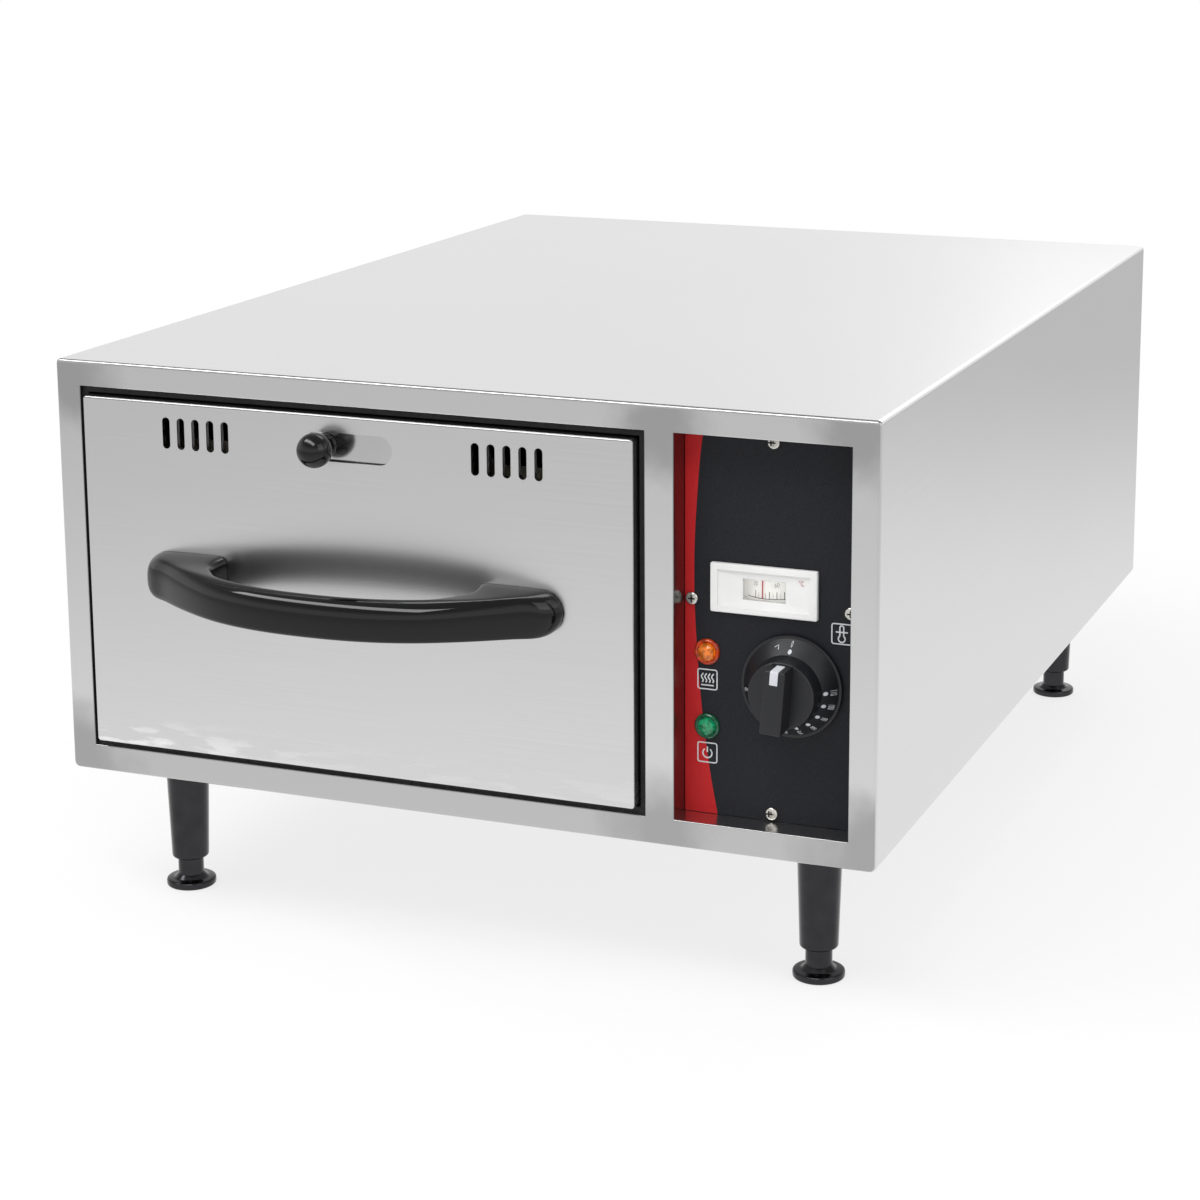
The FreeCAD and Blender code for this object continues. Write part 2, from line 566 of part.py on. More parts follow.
def make_insulation():
    """Mineral-wool boards round the liner: roof, floor, both sides and back."""
    t = LINER_SHEET + FIT_GAP
    front = LIP_DEPTH + 4
    x0, x1 = BAY_X0 - LINER_SHEET, BAY_X1 + LINER_SHEET
    roof = box(x0, x1, front, LINER_BACK, BAY_Z1 + t, ROOF_UNDER - FIT_GAP)
    floor = box(x0, x1, front, LINER_BACK, FLOOR_TOP + FIT_GAP, BAY_Z0 - t)
    for x, y in leg_places().values():
        floor = floor.cut(rod(11, x, y, FLOOR_TOP, 20, (0, 0, 1)))
    left_z = CASE_BOTTOM + BOTTOM_BEND
    left = box(CASE_LEFT + SHEET + FIT_GAP, x0 - FIT_GAP, front, LINER_BACK, left_z, ROOF_UNDER - 2)
    right = box(x1 + FIT_GAP, DIVIDER_X - FIT_GAP, front, LINER_BACK, FLOOR_TOP + FIT_GAP, ROOF_UNDER - 2)
    for x, y, z, radius in wall_holes():
        right = right.cut(rod(radius + 1, x - 1, y, z, 30, (1, 0, 0)))
    back = box(x0, x1, LINER_BACK + FIT_GAP, LINER_BACK + REAR_WOOL, FLOOR_TOP + FIT_GAP, ROOF_UNDER - 2)
    back = back.cut(rod(11, leg_places()["rl"][0], leg_places()["rl"][1], FLOOR_TOP, 20, (0, 0, 1)))
    parts["insulation"] = Part.makeCompound([roof, floor, left, right, back])


# ---------------------------------------------------------------- heating
def element_route():
    """Middle line of the element: fore-and-aft passes, both ends out through the right wall."""
    z = BAY_Z0 + ELEMENT_LIFT
    out = DIVIDER_X + 22
    route = [(out, ELEMENT_REAR, z)]
    y = ELEMENT_REAR
    for index in range(ELEMENT_PASSES):
        x = BAY_X0 + ELEMENT_SIDE_GAP + index * ELEMENT_PITCH
        far = ELEMENT_FRONT if index % 2 == 0 else ELEMENT_TURN
        route += [(x, y, z), (x, far, z)]
        y = far
    return route + [(out, ELEMENT_TURN, z)]


def make_heating_element():
    """Tubular heating element under the pan, with its supports and ceramic bushes."""
    parts["heating_element"] = bent_tube(element_route(), ELEMENT_BEND, ELEMENT_RADIUS)
    under = BAY_Z0 + ELEMENT_LIFT - ELEMENT_RADIUS
    sheet = BRACKET_SHEET
    x0 = BAY_X0 + ELEMENT_SIDE_GAP - SUPPORT_OVERHANG
    x1 = BAY_X1 - ELEMENT_SIDE_GAP + SUPPORT_OVERHANG
    first = ELEMENT_FRONT + SUPPORT_END_GAP
    step = (ELEMENT_TURN - SUPPORT_END_GAP - first) / (SUPPORT_COUNT - 1)
    supports = []
    for index in range(SUPPORT_COUNT):
        y0 = first + index * step - BRACKET_WIDTH / 2
        y1 = y0 + BRACKET_WIDTH
        bar = box(x0, x1, y0, y1, under - sheet, under)
        legs = [box(x, x + sheet, y0, y1, BAY_Z0, under) for x in (x0, x1 - sheet)]
        starts = (x0 - SUPPORT_FOOT + sheet, x1 - sheet)
        feet = [box(x, x + SUPPORT_FOOT, y0, y1, BAY_Z0, BAY_Z0 + sheet) for x in starts]
        supports.append(joined([bar] + legs + feet))
    parts["element_supports"] = Part.makeCompound(supports)
    bushes = []
    for x, y, z, radius in wall_holes()[:2]:
        start, length = x - 4, DIVIDER_X + DIVIDER_SHEET - x + 8
        bush = rod(radius - 0.1, start, y, z, length, (1, 0, 0)).fuse(rod(radius + 3, start, y, z, 4, (1, 0, 0)))
        bushes.append(bush.cut(rod(ELEMENT_RADIUS + 0.1, start - 1, y, z, length + 2, (1, 0, 0))))
    parts["element_bushes"] = Part.makeCompound(bushes)


# ---------------------------------------------------------------- telescopic runners
def channel(u0, u1, half_height, sheet, y0, y1, web_at_start):
    """C-section member beside the bay's left wall; u is the distance from the runner's back."""
    x0, x1 = RUNNER_X0 + u0, RUNNER_X0 + u1
    outer = box(x0, x1, y0, y1, RUNNER_LEVEL - half_height, RUNNER_LEVEL + half_height)
    inner_x = (x0 + sheet, x1 + 1) if web_at_start else (x0 - 1, x1 - sheet)
    inner = box(inner_x[0], inner_x[1], y0 - 1, y1 + 1,
                RUNNER_LEVEL - half_height + sheet, RUNNER_LEVEL + half_height - sheet)
    return outer.cut(inner)


def cage_span(carrier_start, carrier_end, carrier_share, rider_start, rider_end, rider_share):
    """Where a cage lies with the drawer shut, so that it stays between both members when it is out."""
    travel = DRAWER_TRAVEL
    open_start = max(carrier_start - carrier_share * travel, rider_start - rider_share * travel)
    open_end = min(carrier_end - carrier_share * travel, rider_end - rider_share * travel)
    back = (carrier_share + rider_share) / 2 * travel
    return open_start + CAGE_END_ROOM + back, open_end - CAGE_END_ROOM + back


def ball_cage(u_web, u_far, half_height, y0, y1, travel_u):
    """Retainer with a row of balls above and below, between two nested members."""
    x_web, x_far = RUNNER_X0 + u_web, RUNNER_X0 + u_far
    ball_x = RUNNER_X0 + travel_u
    z_top = RUNNER_LEVEL + half_height
    half = CAGE_SHEET / 2
    web = box(x_web, x_web + CAGE_SHEET, y0, y1, RUNNER_LEVEL - half_height - half, z_top + half)
    top = box(x_web, x_far, y0, y1, z_top - half, z_top + half)
    low = box(x_web, x_far, y0, y1, RUNNER_LEVEL - half_height - half, RUNNER_LEVEL - half_height + half)
    cage = joined([web, top, low])
    balls = []
    pitch = (y1 - y0) / BALLS_PER_ROW
    for index in range(BALLS_PER_ROW):
        y = y0 + pitch * (index + 0.5)
        cage = cage.cut(rod(BALL_RADIUS + 0.1, ball_x, y, RUNNER_LEVEL - 40, 80, (0, 0, 1)))
        for side in (-1, 1):
            balls.append(Part.makeSphere(BALL_RADIUS, vec(ball_x, y, RUNNER_LEVEL + side * half_height)))
    return Part.makeCompound([cage] + balls)


def make_runners():
    """Full-extension runners: outer member on the bay wall, middle member, inner member on the carrier."""
    t = RUNNER_SHEET
    half = RUNNER_HEIGHT / 2
    outer_web = 1.6 + t
    mid_half = half - t - BALL_GAP
    inner_half = mid_half - t - BALL_GAP
    inner_web = outer_web + t + 1.6
    y0 = RUNNER_SETBACK
    y1 = y0 + RUNNER_LENGTH
    mid_y0, mid_y1 = y0 + MIDDLE_SETBACK, y1 - MIDDLE_SHORTER
    outer = channel(0, RUNNER_THICK - 1, half, t, y0, y1, True)
    feet = [box(BAY_X0, RUNNER_X0 + t, y, y + RUNNER_FOOT, RUNNER_LEVEL - 8, RUNNER_LEVEL + 8)
            for y in (y0 + RUNNER_FOOT, (y0 + y1 - RUNNER_FOOT) / 2, y1 - 2 * RUNNER_FOOT)]
    outer = joined([outer] + feet)
    middle = channel(outer_web, RUNNER_THICK - 2.2, mid_half, t, mid_y0, mid_y1, True)
    inner = channel(inner_web + 1, RUNNER_THICK, inner_half, t, DRAWER_BACK, CARRIER_END, False)

    start, end = cage_span(y0, y1, 0, mid_y0, mid_y1, 0.5)
    cage_o = ball_cage(t + 0.5, outer_web + 5.5, half - t - BALL_GAP / 2, start, end, outer_web + 3)
    start, end = cage_span(mid_y0, mid_y1, 0.5, DRAWER_BACK, CARRIER_END, 1)
    cage_i = ball_cage(outer_web + t + 0.5, inner_web + 5.5, mid_half - t - BALL_GAP / 2, start, end, inner_web + 3)
    for name, left in (("outer_runner", outer), ("inner_runner", inner)):
        parts[name + "_left"] = left
        parts[name + "_right"] = mirrored(left, BAY_MIDDLE)
    parts["middle_runner_pair"] = Part.makeCompound([middle, mirrored(middle, BAY_MIDDLE)])
    parts["outer_ball_cages"] = Part.makeCompound([cage_o, mirrored(cage_o, BAY_MIDDLE)])
    parts["inner_ball_cages"] = Part.makeCompound([cage_i, mirrored(cage_i, BAY_MIDDLE)])


# ---------------------------------------------------------------- drawer
def vent_places():
    """Middles of the vent slots, in two groups."""
    places = []
    for side in (-1, 1):
        for index in range(VENT_COUNT):
            step = index - (VENT_COUNT - 1) / 2
            places.append(BAY_MIDDLE + side * VENT_OFFSET + step * VENT_PITCH)
    return places


def handle_screw_places():
    x = HANDLE_HALF_SPAN - HANDLE_FOOT_LENGTH / 2
    z = HANDLE_Z
    return [(BAY_MIDDLE + side * x, z + rise) for side in (-1, 1) for rise in (-9, 9)]


def make_drawer_front():
    """Double-walled drawer front: folded face, flat back skin, wool between them."""
    y1 = DRAWER_BACK - SHEET
    outer = front_plate(DRAWER_X0, DRAWER_X1, DRAWER_Z0, DRAWER_Z1, FRONT_FACE, y1, 2.2)
    outer = outer.makeFillet(1.8, edges_at(outer, lambda p: near(p.y, FRONT_FACE)))
    hollow = front_plate(DRAWER_X0 + SHEET, DRAWER_X1 - SHEET, DRAWER_Z0 + SHEET, DRAWER_Z1 - SHEET,
                         SKIN_BACK, y1 + 1, 1.0)
    skin = outer.cut(hollow)
    for x in vent_places():
        skin = skin.cut(obround(x, VENT_Z, VENT_WIDTH, VENT_LENGTH, FRONT_FACE - 1, SKIN_BACK + 1))
    skin = skin.cut(obround(BAY_MIDDLE, VENT_Z, SLOT_LENGTH, SLOT_HEIGHT, FRONT_FACE - 1, SKIN_BACK + 1))
    for x, z in handle_screw_places():
        skin = skin.cut(rod(HANDLE_SCREW_RADIUS + 0.2, x, FRONT_FACE - 1, z, 4))
    parts["drawer_front"] = skin

    back = front_plate(DRAWER_X0, DRAWER_X1, DRAWER_Z0, DRAWER_Z1, y1, DRAWER_BACK, 2.2)
    group = VENT_COUNT * VENT_PITCH
    for side in (-1, 1):
        window = obround(BAY_MIDDLE + side * VENT_OFFSET, VENT_Z, group, VENT_LENGTH, y1 - 1, DRAWER_BACK + 1)
        back = back.cut(window)
    parts["drawer_back_skin"] = back

    wool_top = VENT_Z - DAMPER_HEIGHT / 2 - 6
    wool = box(DRAWER_X0 + SHEET + FIT_GAP, DRAWER_X1 - SHEET - FIT_GAP, SKIN_BACK + 9, y1 - FIT_GAP,
               DRAWER_Z0 + SHEET + FIT_GAP, wool_top)
    parts["drawer_insulation"] = wool


def make_bay_seal():
    """Black silicone strip that lines the bay's mouth round the drawer front."""
    t = DRAWER_GAP - SEAL_CLEARANCE
    seal = box(BAY_X0, BAY_X1, SEAL_SETBACK, LIP_DEPTH, BAY_Z0, BAY_Z1)
    seal = seal.cut(box(BAY_X0 + t, BAY_X1 - t, 0, LIP_DEPTH + 1, BAY_Z0 + t, BAY_Z1 - t))
    parts["bay_seal"] = seal


def handle_section(inner, outer, height, back_round, front_round):
    """Upright rounded section of the handle between its inner and outer edge, seen in plan."""
    start = vec(BAY_MIDDLE + inner[0], FRONT_FACE - inner[1], HANDLE_Z)
    span = vec(outer[0] - inner[0], inner[1] - outer[1], 0)
    width = span.Length
    across = vec(span.x / width, span.y / width, 0)
    return rounded_wire(0, width, -height / 2, height / 2, (back_round, front_round, front_round, back_round),
                        lambda a, b: start + across * a + vec(0, 0, b))


def make_handle():
    """Moulded bow handle: flat band on a long curve, its ends swept back into broad oval feet."""
    half, reach, band = HANDLE_HALF_SPAN, HANDLE_REACH, HANDLE_HEIGHT

    def bow(x):
        return reach * (1 - (x / half) ** HANDLE_BOW)

    def crossing(x):
        """Section square to the bow at x: its inner edge and its outer edge."""
        slope = -reach * HANDLE_BOW / half * (x / half) ** (HANDLE_BOW - 1)
        length = math.hypot(1, slope)
        inner = (x + slope / length * HANDLE_THICK, bow(x) - HANDLE_THICK / length)
        return inner, (x, bow(x))
    foot = half - HANDLE_FOOT_LENGTH
    spread = HANDLE_FOOT_HEIGHT - band
    edge, back = HANDLE_EDGE, HANDLE_BACK_EDGE
    right = [((foot, 0), (half, 0), band + spread, 16, 20),
             ((foot + 1, 5), (half - 0.8, 5), band + spread * 0.93, 15, 17),
             ((foot + 2, 12), (half - 4.5, 12), band + spread * 0.66, 12, 10),
             ((foot + 1, 19), (half - 11, 18.5), band + spread * 0.36, 9, 5),
             ((foot - 3, 27), (half - 22, bow(half - 22) + 1), band + spread * 0.14, 7, edge),
             ((foot - 10, 35), (half - 39, bow(half - 39)), band, 5, edge)]
    for x in (half * 0.62, half * 0.47, half * 0.31, half * 0.155):
        right.append(crossing(x) + (band, back, edge))
    sections = [handle_section(*row) for row in right]
    sections.append(handle_section((0, reach - HANDLE_THICK), (0, reach), band, back, edge))
    for inner, outer, *rest in reversed(right):
        sections.append(handle_section((-inner[0], inner[1]), (-outer[0], outer[1]), *rest))
    handle = Part.makeLoft(sections, True, False)
    screws = []
    for x, z in handle_screw_places():
        handle = handle.cut(rod(HANDLE_SCREW_RADIUS - 0.3, x, FRONT_FACE - 12, z, 13))
        shank = rod(HANDLE_SCREW_RADIUS - 0.3, x, FRONT_FACE - 12, z, 12 + SHEET)
        washer = rod(7, x, SKIN_BACK, z, 1.2)
        head = rod(4.6, x, SKIN_BACK + 1.2, z, 3)
        screws.append(joined([shank, washer, head]))
    parts["handle"] = handle
    parts["handle_screws"] = Part.makeCompound(screws)


def make_pan_carrier():
    """Frame that hangs between the inner runners and carries the pan by its rim."""
    t = CARRIER_SHEET
    y0, y1 = DRAWER_BACK, CARRIER_END
    low = CARRIER_TOP - t - CARRIER_APRON
    body = box(CARRIER_X0, CARRIER_X1, y0, y1, low, CARRIER_TOP)
    body = body.cut(box(CARRIER_X0 + t, CARRIER_X1 - t, y0 + t, y1 - t, low - 1, CARRIER_TOP - t))
    half_x = PAN_WIDTH / 2 - PAN_RIM + PAN_OPENING_GAP
    half_y = PAN_LENGTH / 2 - PAN_RIM + PAN_OPENING_GAP
    wire = flat_outline(BAY_MIDDLE - half_x, BAY_MIDDLE + half_x, PAN_MIDDLE - half_y, PAN_MIDDLE + half_y,
                        CARRIER_TOP - t - 1, PAN_WALL_RADIUS + PAN_OPENING_GAP)
    opening = Part.Face(wire).extrude(vec(0, 0, t + 2))
    parts["pan_carrier"] = body.cut(opening)


def pan_shell(inset, depth):
    """Tapered tub from the rim down; inset shrinks it all round."""
    half_x = PAN_WIDTH / 2 - PAN_RIM - inset
    half_y = PAN_LENGTH / 2 - PAN_RIM - inset
    wires = []
    for drop, lean in ((0, 0), (depth, PAN_DRAFT * depth / PAN_DEPTH)):
        wires.append(flat_outline(BAY_MIDDLE - half_x + lean, BAY_MIDDLE + half_x - lean,
                                  PAN_MIDDLE - half_y + lean, PAN_MIDDLE + half_y - lean,
                                  CARRIER_TOP + PAN_SHEET - drop, PAN_WALL_RADIUS - inset))
    tub = Part.makeLoft(wires, True, False)
    bottom = CARRIER_TOP + PAN_SHEET - depth
    return tub.makeFillet(PAN_BOTTOM_RADIUS - inset, edges_at(tub, lambda p: near(p.z, bottom)))


def make_food_pan():
    """Deep-drawn gastronorm pan with a flat rim and a hemmed edge."""
    z0, z1 = CARRIER_TOP, CARRIER_TOP + PAN_SHEET
    half_x, half_y = PAN_WIDTH / 2, PAN_LENGTH / 2

    def ring(inset, top):
        wire = flat_outline(BAY_MIDDLE - half_x + inset, BAY_MIDDLE + half_x - inset,
                            PAN_MIDDLE - half_y + inset, PAN_MIDDLE + half_y - inset, z0, PAN_RIM_RADIUS - inset)
        return Part.Face(wire).extrude(vec(0, 0, top - z0))
    hem = ring(0, z1 + 1.4).cut(ring(3, z1 + 2))
    rim = joined([ring(0, z1), hem, pan_shell(0, PAN_DEPTH)])
    parts["food_pan"] = rim.cut(pan_shell(PAN_SHEET, PAN_DEPTH - PAN_SHEET)).removeSplitter()


# ---------------------------------------------------------------- vent damper
def make_damper():
    """Slotted plate that slides behind the face to close the vents, with its guides and ball knob."""
    y0, y1 = DAMPER_FACE, DAMPER_FACE + DAMPER_SHEET
    z0, z1 = VENT_Z - DAMPER_HEIGHT / 2, VENT_Z + DAMPER_HEIGHT / 2
    knob_x = BAY_MIDDLE + DAMPER_KNOB_OFFSET
    plate = front_plate(DAMPER_X0, DAMPER_X1, z0, z1, y0, y1, 1.5)
    for x in vent_places():
        plate = plate.cut(obround(x, VENT_Z, VENT_WIDTH, VENT_LENGTH, y0 - 1, y1 + 1))
    parts["damper_plate"] = plate.cut(rod(2.6, knob_x, y0 - 1, VENT_Z, 4))

    centre = FRONT_FACE - DAMPER_BALL_REACH
    ball = Part.makeSphere(DAMPER_BALL_RADIUS, vec(knob_x, centre, VENT_Z))
    neck = rod(DAMPER_NECK_RADIUS, knob_x, centre, VENT_Z, y0 - centre)
    collar = rod(DAMPER_NECK_RADIUS + 2.5, knob_x, y0 - 2, VENT_Z, 2)
    knob = joined([ball, neck, collar])
    parts["damper_knob"] = knob.cut(rod(2.5, knob_x, y0 - 14, VENT_Z, 15))
    stud = rod(2.5, knob_x, y0 - 14, VENT_Z, 14 + DAMPER_SHEET + 5)
    nut = hex_bar(8, knob_x, y1, VENT_Z, 4)
    parts["damper_stud"] = joined([stud, nut])

    reach_x0 = DAMPER_X0 - 0.5
    reach_x1 = DAMPER_X1 + DAMPER_TRAVEL + 0.5
    guides = []
    for side in (-1, 1):
        edge = VENT_Z + side * (DAMPER_HEIGHT / 2 + FIT_GAP)
        far = VENT_Z + side * (DAMPER_HEIGHT / 2 + 2.6)
        over = VENT_Z + side * (DAMPER_HEIGHT / 2 - 4)
        front = box(reach_x0 - 5, reach_x1 + 5, SKIN_BACK, y0 - FIT_GAP, *sorted((over, far)))
        web = box(reach_x0 - 5, reach_x1 + 5, SKIN_BACK, y1 + FIT_GAP + 1, *sorted((edge, far)))
        back = box(reach_x0 - 5, reach_x1 + 5, y1 + FIT_GAP, y1 + FIT_GAP + 1, *sorted((over, far)))
        stops = [box(x0, x0 + 5, SKIN_BACK, y1 + FIT_GAP + 1, *sorted((over, far)))
                 for x0 in (reach_x0 - 5, reach_x1)]
        guides.append(joined([front, web, back] + stops))
    parts["damper_guides"] = Part.makeCompound(guides)


# ---------------------------------------------------------------- control panel
def cut_controls(sheet, y0, y1):
    """Openings for thermometer, lamps, thermostat shaft and screws."""
    w, h = THERMOMETER_WIDTH / 2 - 3.5, THERMOMETER_HEIGHT / 2 - 3
    sheet = sheet.cut(box(DIAL_X - w, DIAL_X + w, y0 - 1, y1 + 1, DIAL_Z - h, DIAL_Z + h))
    for level in (AMBER_LEVEL, GREEN_LEVEL):
        sheet = sheet.cut(rod(LAMP_BODY_RADIUS + 0.2, PANEL_X0 + LAMP_X, y0 - 1, CASE_BOTTOM + level, y1 - y0 + 2))
    sheet = sheet.cut(rod(SHAFT_RADIUS + 1.5, KNOB_AXIS_X, y0 - 1, KNOB_AXIS_Z, y1 - y0 + 2))
    for x, z, side_x, side_z in panel_screw_places():
        sheet = sheet.cut(rod(SCREW_RADIUS + 0.1, x, y0 - 1, z, y1 - y0 + 2))
    return sheet


def make_control_panel():
    """Steel panel sheet in the recess, its printed overlay and four screws."""
    g = FIT_GAP
    sheet = box(PANEL_X0 + g, PANEL_X1 - g, PANEL_FRONT, PANEL_FRONT + PANEL_SHEET, BAY_Z0 + g, BAY_Z1 - g)
    parts["control_panel"] = cut_controls(sheet, PANEL_FRONT, PANEL_FRONT + PANEL_SHEET)
    film = box(PANEL_X0 + g, PANEL_X1 - g, FILM_FRONT, PANEL_FRONT, BAY_Z0 + g, BAY_Z1 - g)
    parts["panel_overlay"] = cut_controls(film, FILM_FRONT, PANEL_FRONT)
    screws = [pan_head_screw(x, FILM_FRONT, z, SCREW_LENGTH) for x, z, side_x, side_z in panel_screw_places()]
    parts["panel_screws"] = Part.makeCompound(screws)


def make_thermometer():
    """Rectangular panel thermometer: white moulding, clear pane, drum scale and red pointer."""
    w, h = THERMOMETER_WIDTH / 2, THERMOMETER_HEIGHT / 2
    rim = front_plate(DIAL_X - w, DIAL_X + w, DIAL_Z - h, DIAL_Z + h, BEZEL_FRONT, FILM_FRONT, 1.5)
    rim = rim.makeFillet(0.8, edges_at(rim, lambda p: near(p.y, BEZEL_FRONT)))
    wi, hi = w - 3.8, h - 3.3
    end = DIAL_AXIS_Y + 8
    body = box(DIAL_X - wi, DIAL_X + wi, FILM_FRONT, end, DIAL_Z - hi, DIAL_Z + hi)
    housing = joined([rim, body])
    wp, hp = w - BEZEL_BORDER, h - BEZEL_BORDER * 0.85
    housing = housing.cut(box(DIAL_X - wp, DIAL_X + wp, BEZEL_FRONT - 1, PANE_FRONT + 1, DIAL_Z - hp, DIAL_Z + hp))
    ww, wh = WINDOW_WIDTH / 2, WINDOW_HEIGHT / 2
    housing = housing.cut(box(DIAL_X - ww, DIAL_X + ww, PANE_FRONT, PANE_FRONT + 5, DIAL_Z - wh, DIAL_Z + wh))
    wr, hr = wi - 2, hi - 2
    housing = housing.cut(box(DIAL_X - wr, DIAL_X + wr, PANE_FRONT + 2.5, end - 2, DIAL_Z - hr, DIAL_Z + hr))
    parts["thermometer_housing"] = housing
    g = 0.1
    parts["thermometer_pane"] = box(DIAL_X - wp + g, DIAL_X + wp - g, PANE_FRONT, PANE_FRONT + 1,
                                    DIAL_Z - hp + g, DIAL_Z + hp - g)
    drum_low = DIAL_Z - DIAL_HEIGHT / 2
    drum = rod(DIAL_RADIUS, DIAL_X, DIAL_AXIS_Y, drum_low, DIAL_HEIGHT, (0, 0, 1))
    drum = drum.cut(rod(DIAL_RADIUS - 1.5, DIAL_X, DIAL_AXIS_Y, drum_low + 1.5, DIAL_HEIGHT, (0, 0, 1)))
    drum = drum.cut(box(DIAL_X - 30, DIAL_X + 30, DIAL_AXIS_Y + 4, DIAL_AXIS_Y + 30, drum_low - 1, DIAL_Z + 30))
    post = rod(1.5, DIAL_X, DIAL_AXIS_Y, DIAL_Z - hi + 2, hi - 2 + DIAL_HEIGHT / 2 + 1.5, (0, 0, 1))
    parts["thermometer_dial"] = joined([drum, post])
    needle_y = DIAL_AXIS_Y - DIAL_RADIUS - NEEDLE_GAP
    arm_z = DIAL_Z + DIAL_HEIGHT / 2 + 0.3
    hub = rod(3, DIAL_X, DIAL_AXIS_Y, arm_z, 1.5, (0, 0, 1))
    hub = hub.cut(rod(1.5 + SHAFT_FIT, DIAL_X, DIAL_AXIS_Y, arm_z - 1, 4, (0, 0, 1)))
    arm = box(DIAL_X - 0.5, DIAL_X + 0.5, needle_y - 0.6, DIAL_AXIS_Y - 2, arm_z, arm_z + 0.8)
    tip = box(DIAL_X - 0.4, DIAL_X + 0.4, needle_y - 0.6, needle_y, DIAL_Z - DIAL_HEIGHT / 2 + 2, arm_z + 0.8)
    needle = joined([hub, arm, tip])
    needle.rotate(vec(DIAL_X, DIAL_AXIS_Y, 0), vec(0, 0, 1), NEEDLE_AT_REST)
    parts["thermometer_needle"] = needle


def make_lamps():
    """Amber heating lamp and green power lamp: moulded lens in front, body and nut behind."""
    x = PANEL_X0 + LAMP_X
    y = FILM_FRONT
    bodies = []
    back = PANEL_FRONT + PANEL_SHEET
    for name, level in (("amber_lamp", AMBER_LEVEL), ("green_lamp", GREEN_LEVEL)):
        z = CASE_BOTTOM + level
        profile = [(0, y), (LAMP_RADIUS, y), (LAMP_RADIUS, y - 1.2), (LAMP_RADIUS - 0.8, y - 2),
                   (LAMP_RADIUS - 2, y - 2), (LAMP_RADIUS - 2.6, y - 4), (LAMP_RADIUS - 5, y - 5.2), (0, y - 5.6)]
        parts[name] = turned(profile, x, z)
        body = rod(LAMP_BODY_RADIUS, x, y, z, 26)
        nut = hex_bar(2 * LAMP_BODY_RADIUS + 5, x, back, z, 3)
        pins = [box(x - 0.4, x + 0.4, y + 26, y + 34, z + s * 3 - 1.5, z + s * 3 + 1.5) for s in (-1, 1)]
        bodies.append(joined([body, nut] + pins))
    parts["lamp_bodies"] = Part.makeCompound(bodies)


def make_thermostat():
    """Capillary thermostat behind the panel, its shaft, and the turning knob with its white pointer."""
    x, z = KNOB_AXIS_X, KNOB_AXIS_Z
    back = PANEL_FRONT + PANEL_SHEET
    plate = box(x - 22, x + 22, back, back + 1.5, z - 14, z + 14)
    can = box(x - 18, x + 18, back + 1.5, back + 32, z - 21, z + 21)
    body = joined([plate, can]).cut(rod(SHAFT_RADIUS + SHAFT_FIT, x, back - 1, z, 20))
    parts["thermostat_body"] = body

    base = FILM_FRONT - SKIRT_LIFT
    skirt_top = base - SKIRT_HEIGHT
    floor = skirt_top - GRIP_BODY
    top = floor - GRIP_BAR
    parts["thermostat_shaft"] = rod(SHAFT_RADIUS, x, floor + 2, z, back + 16 - floor - 2)
    hollow = GRIP_RADIUS - 6
    profile = [(hollow, base), (SKIRT_RADIUS - 0.4, base), (SKIRT_RADIUS, base - 0.4),
               (SKIRT_RADIUS, base - SKIRT_EDGE + 0.4), (SKIRT_RADIUS - 0.4, base - SKIRT_EDGE),
               (SKIRT_RADIUS - SKIRT_LAND, base - SKIRT_EDGE), (GRIP_RADIUS, skirt_top), (hollow, skirt_top)]
    parts["knob_skirt"] = turned(profile, x, z)

    half, face = GRIP_BAR_WIDTH / 2, GRIP_RADIUS - GRIP_TAPER
    profile = [(0, base), (hollow - 0.1, base), (hollow - 0.1, skirt_top), (GRIP_RADIUS, skirt_top),
               (face, floor + GRIP_ROUND), (face - GRIP_ROUND, floor), (0, floor)]
    body = turned(profile, x, z)
    length = face - GRIP_ROUND
    bar = box(x - half, x + half, top, floor + 1, z - length, z + length)
    bar = bar.makeFillet(GRIP_ROUND, edges_at(bar, lambda p: p.y < floor + 0.9))
    grip = body.fuse(bar).removeSplitter().cut(rod(SHAFT_RADIUS, x, floor + 2, z, 60))
    # the white line runs along the bar's face and over its end
    line = half - (GRIP_BAR_WIDTH - POINTER_WIDTH) / 2
    flat = box(x - line, x + line, top - POINTER_FILM, top, z + length - POINTER_LENGTH, z + length - GRIP_ROUND)
    fold = box(x - line, x + line, top + GRIP_ROUND, floor - 3, z + length, z + length + POINTER_FILM)
    bend = rod(GRIP_ROUND + POINTER_FILM, x - line, top + GRIP_ROUND, z + length - GRIP_ROUND, 2 * line, (1, 0, 0))
    bend = bend.cut(rod(GRIP_ROUND, x - line - 1, top + GRIP_ROUND, z + length - GRIP_ROUND, 2 * line + 2, (1, 0, 0)))
    corner = box(x - line, x + line, top - 1, top + GRIP_ROUND, z + length - GRIP_ROUND, z + length + 1)
    pointer = joined([flat, bend.common(corner), fold])
    for name, shape in (("thermostat_knob", grip), ("knob_pointer", pointer)):
        shape.rotate(vec(x, 0, z), vec(0, 1, 0), KNOB_AT_ZERO)
        parts[name] = shape


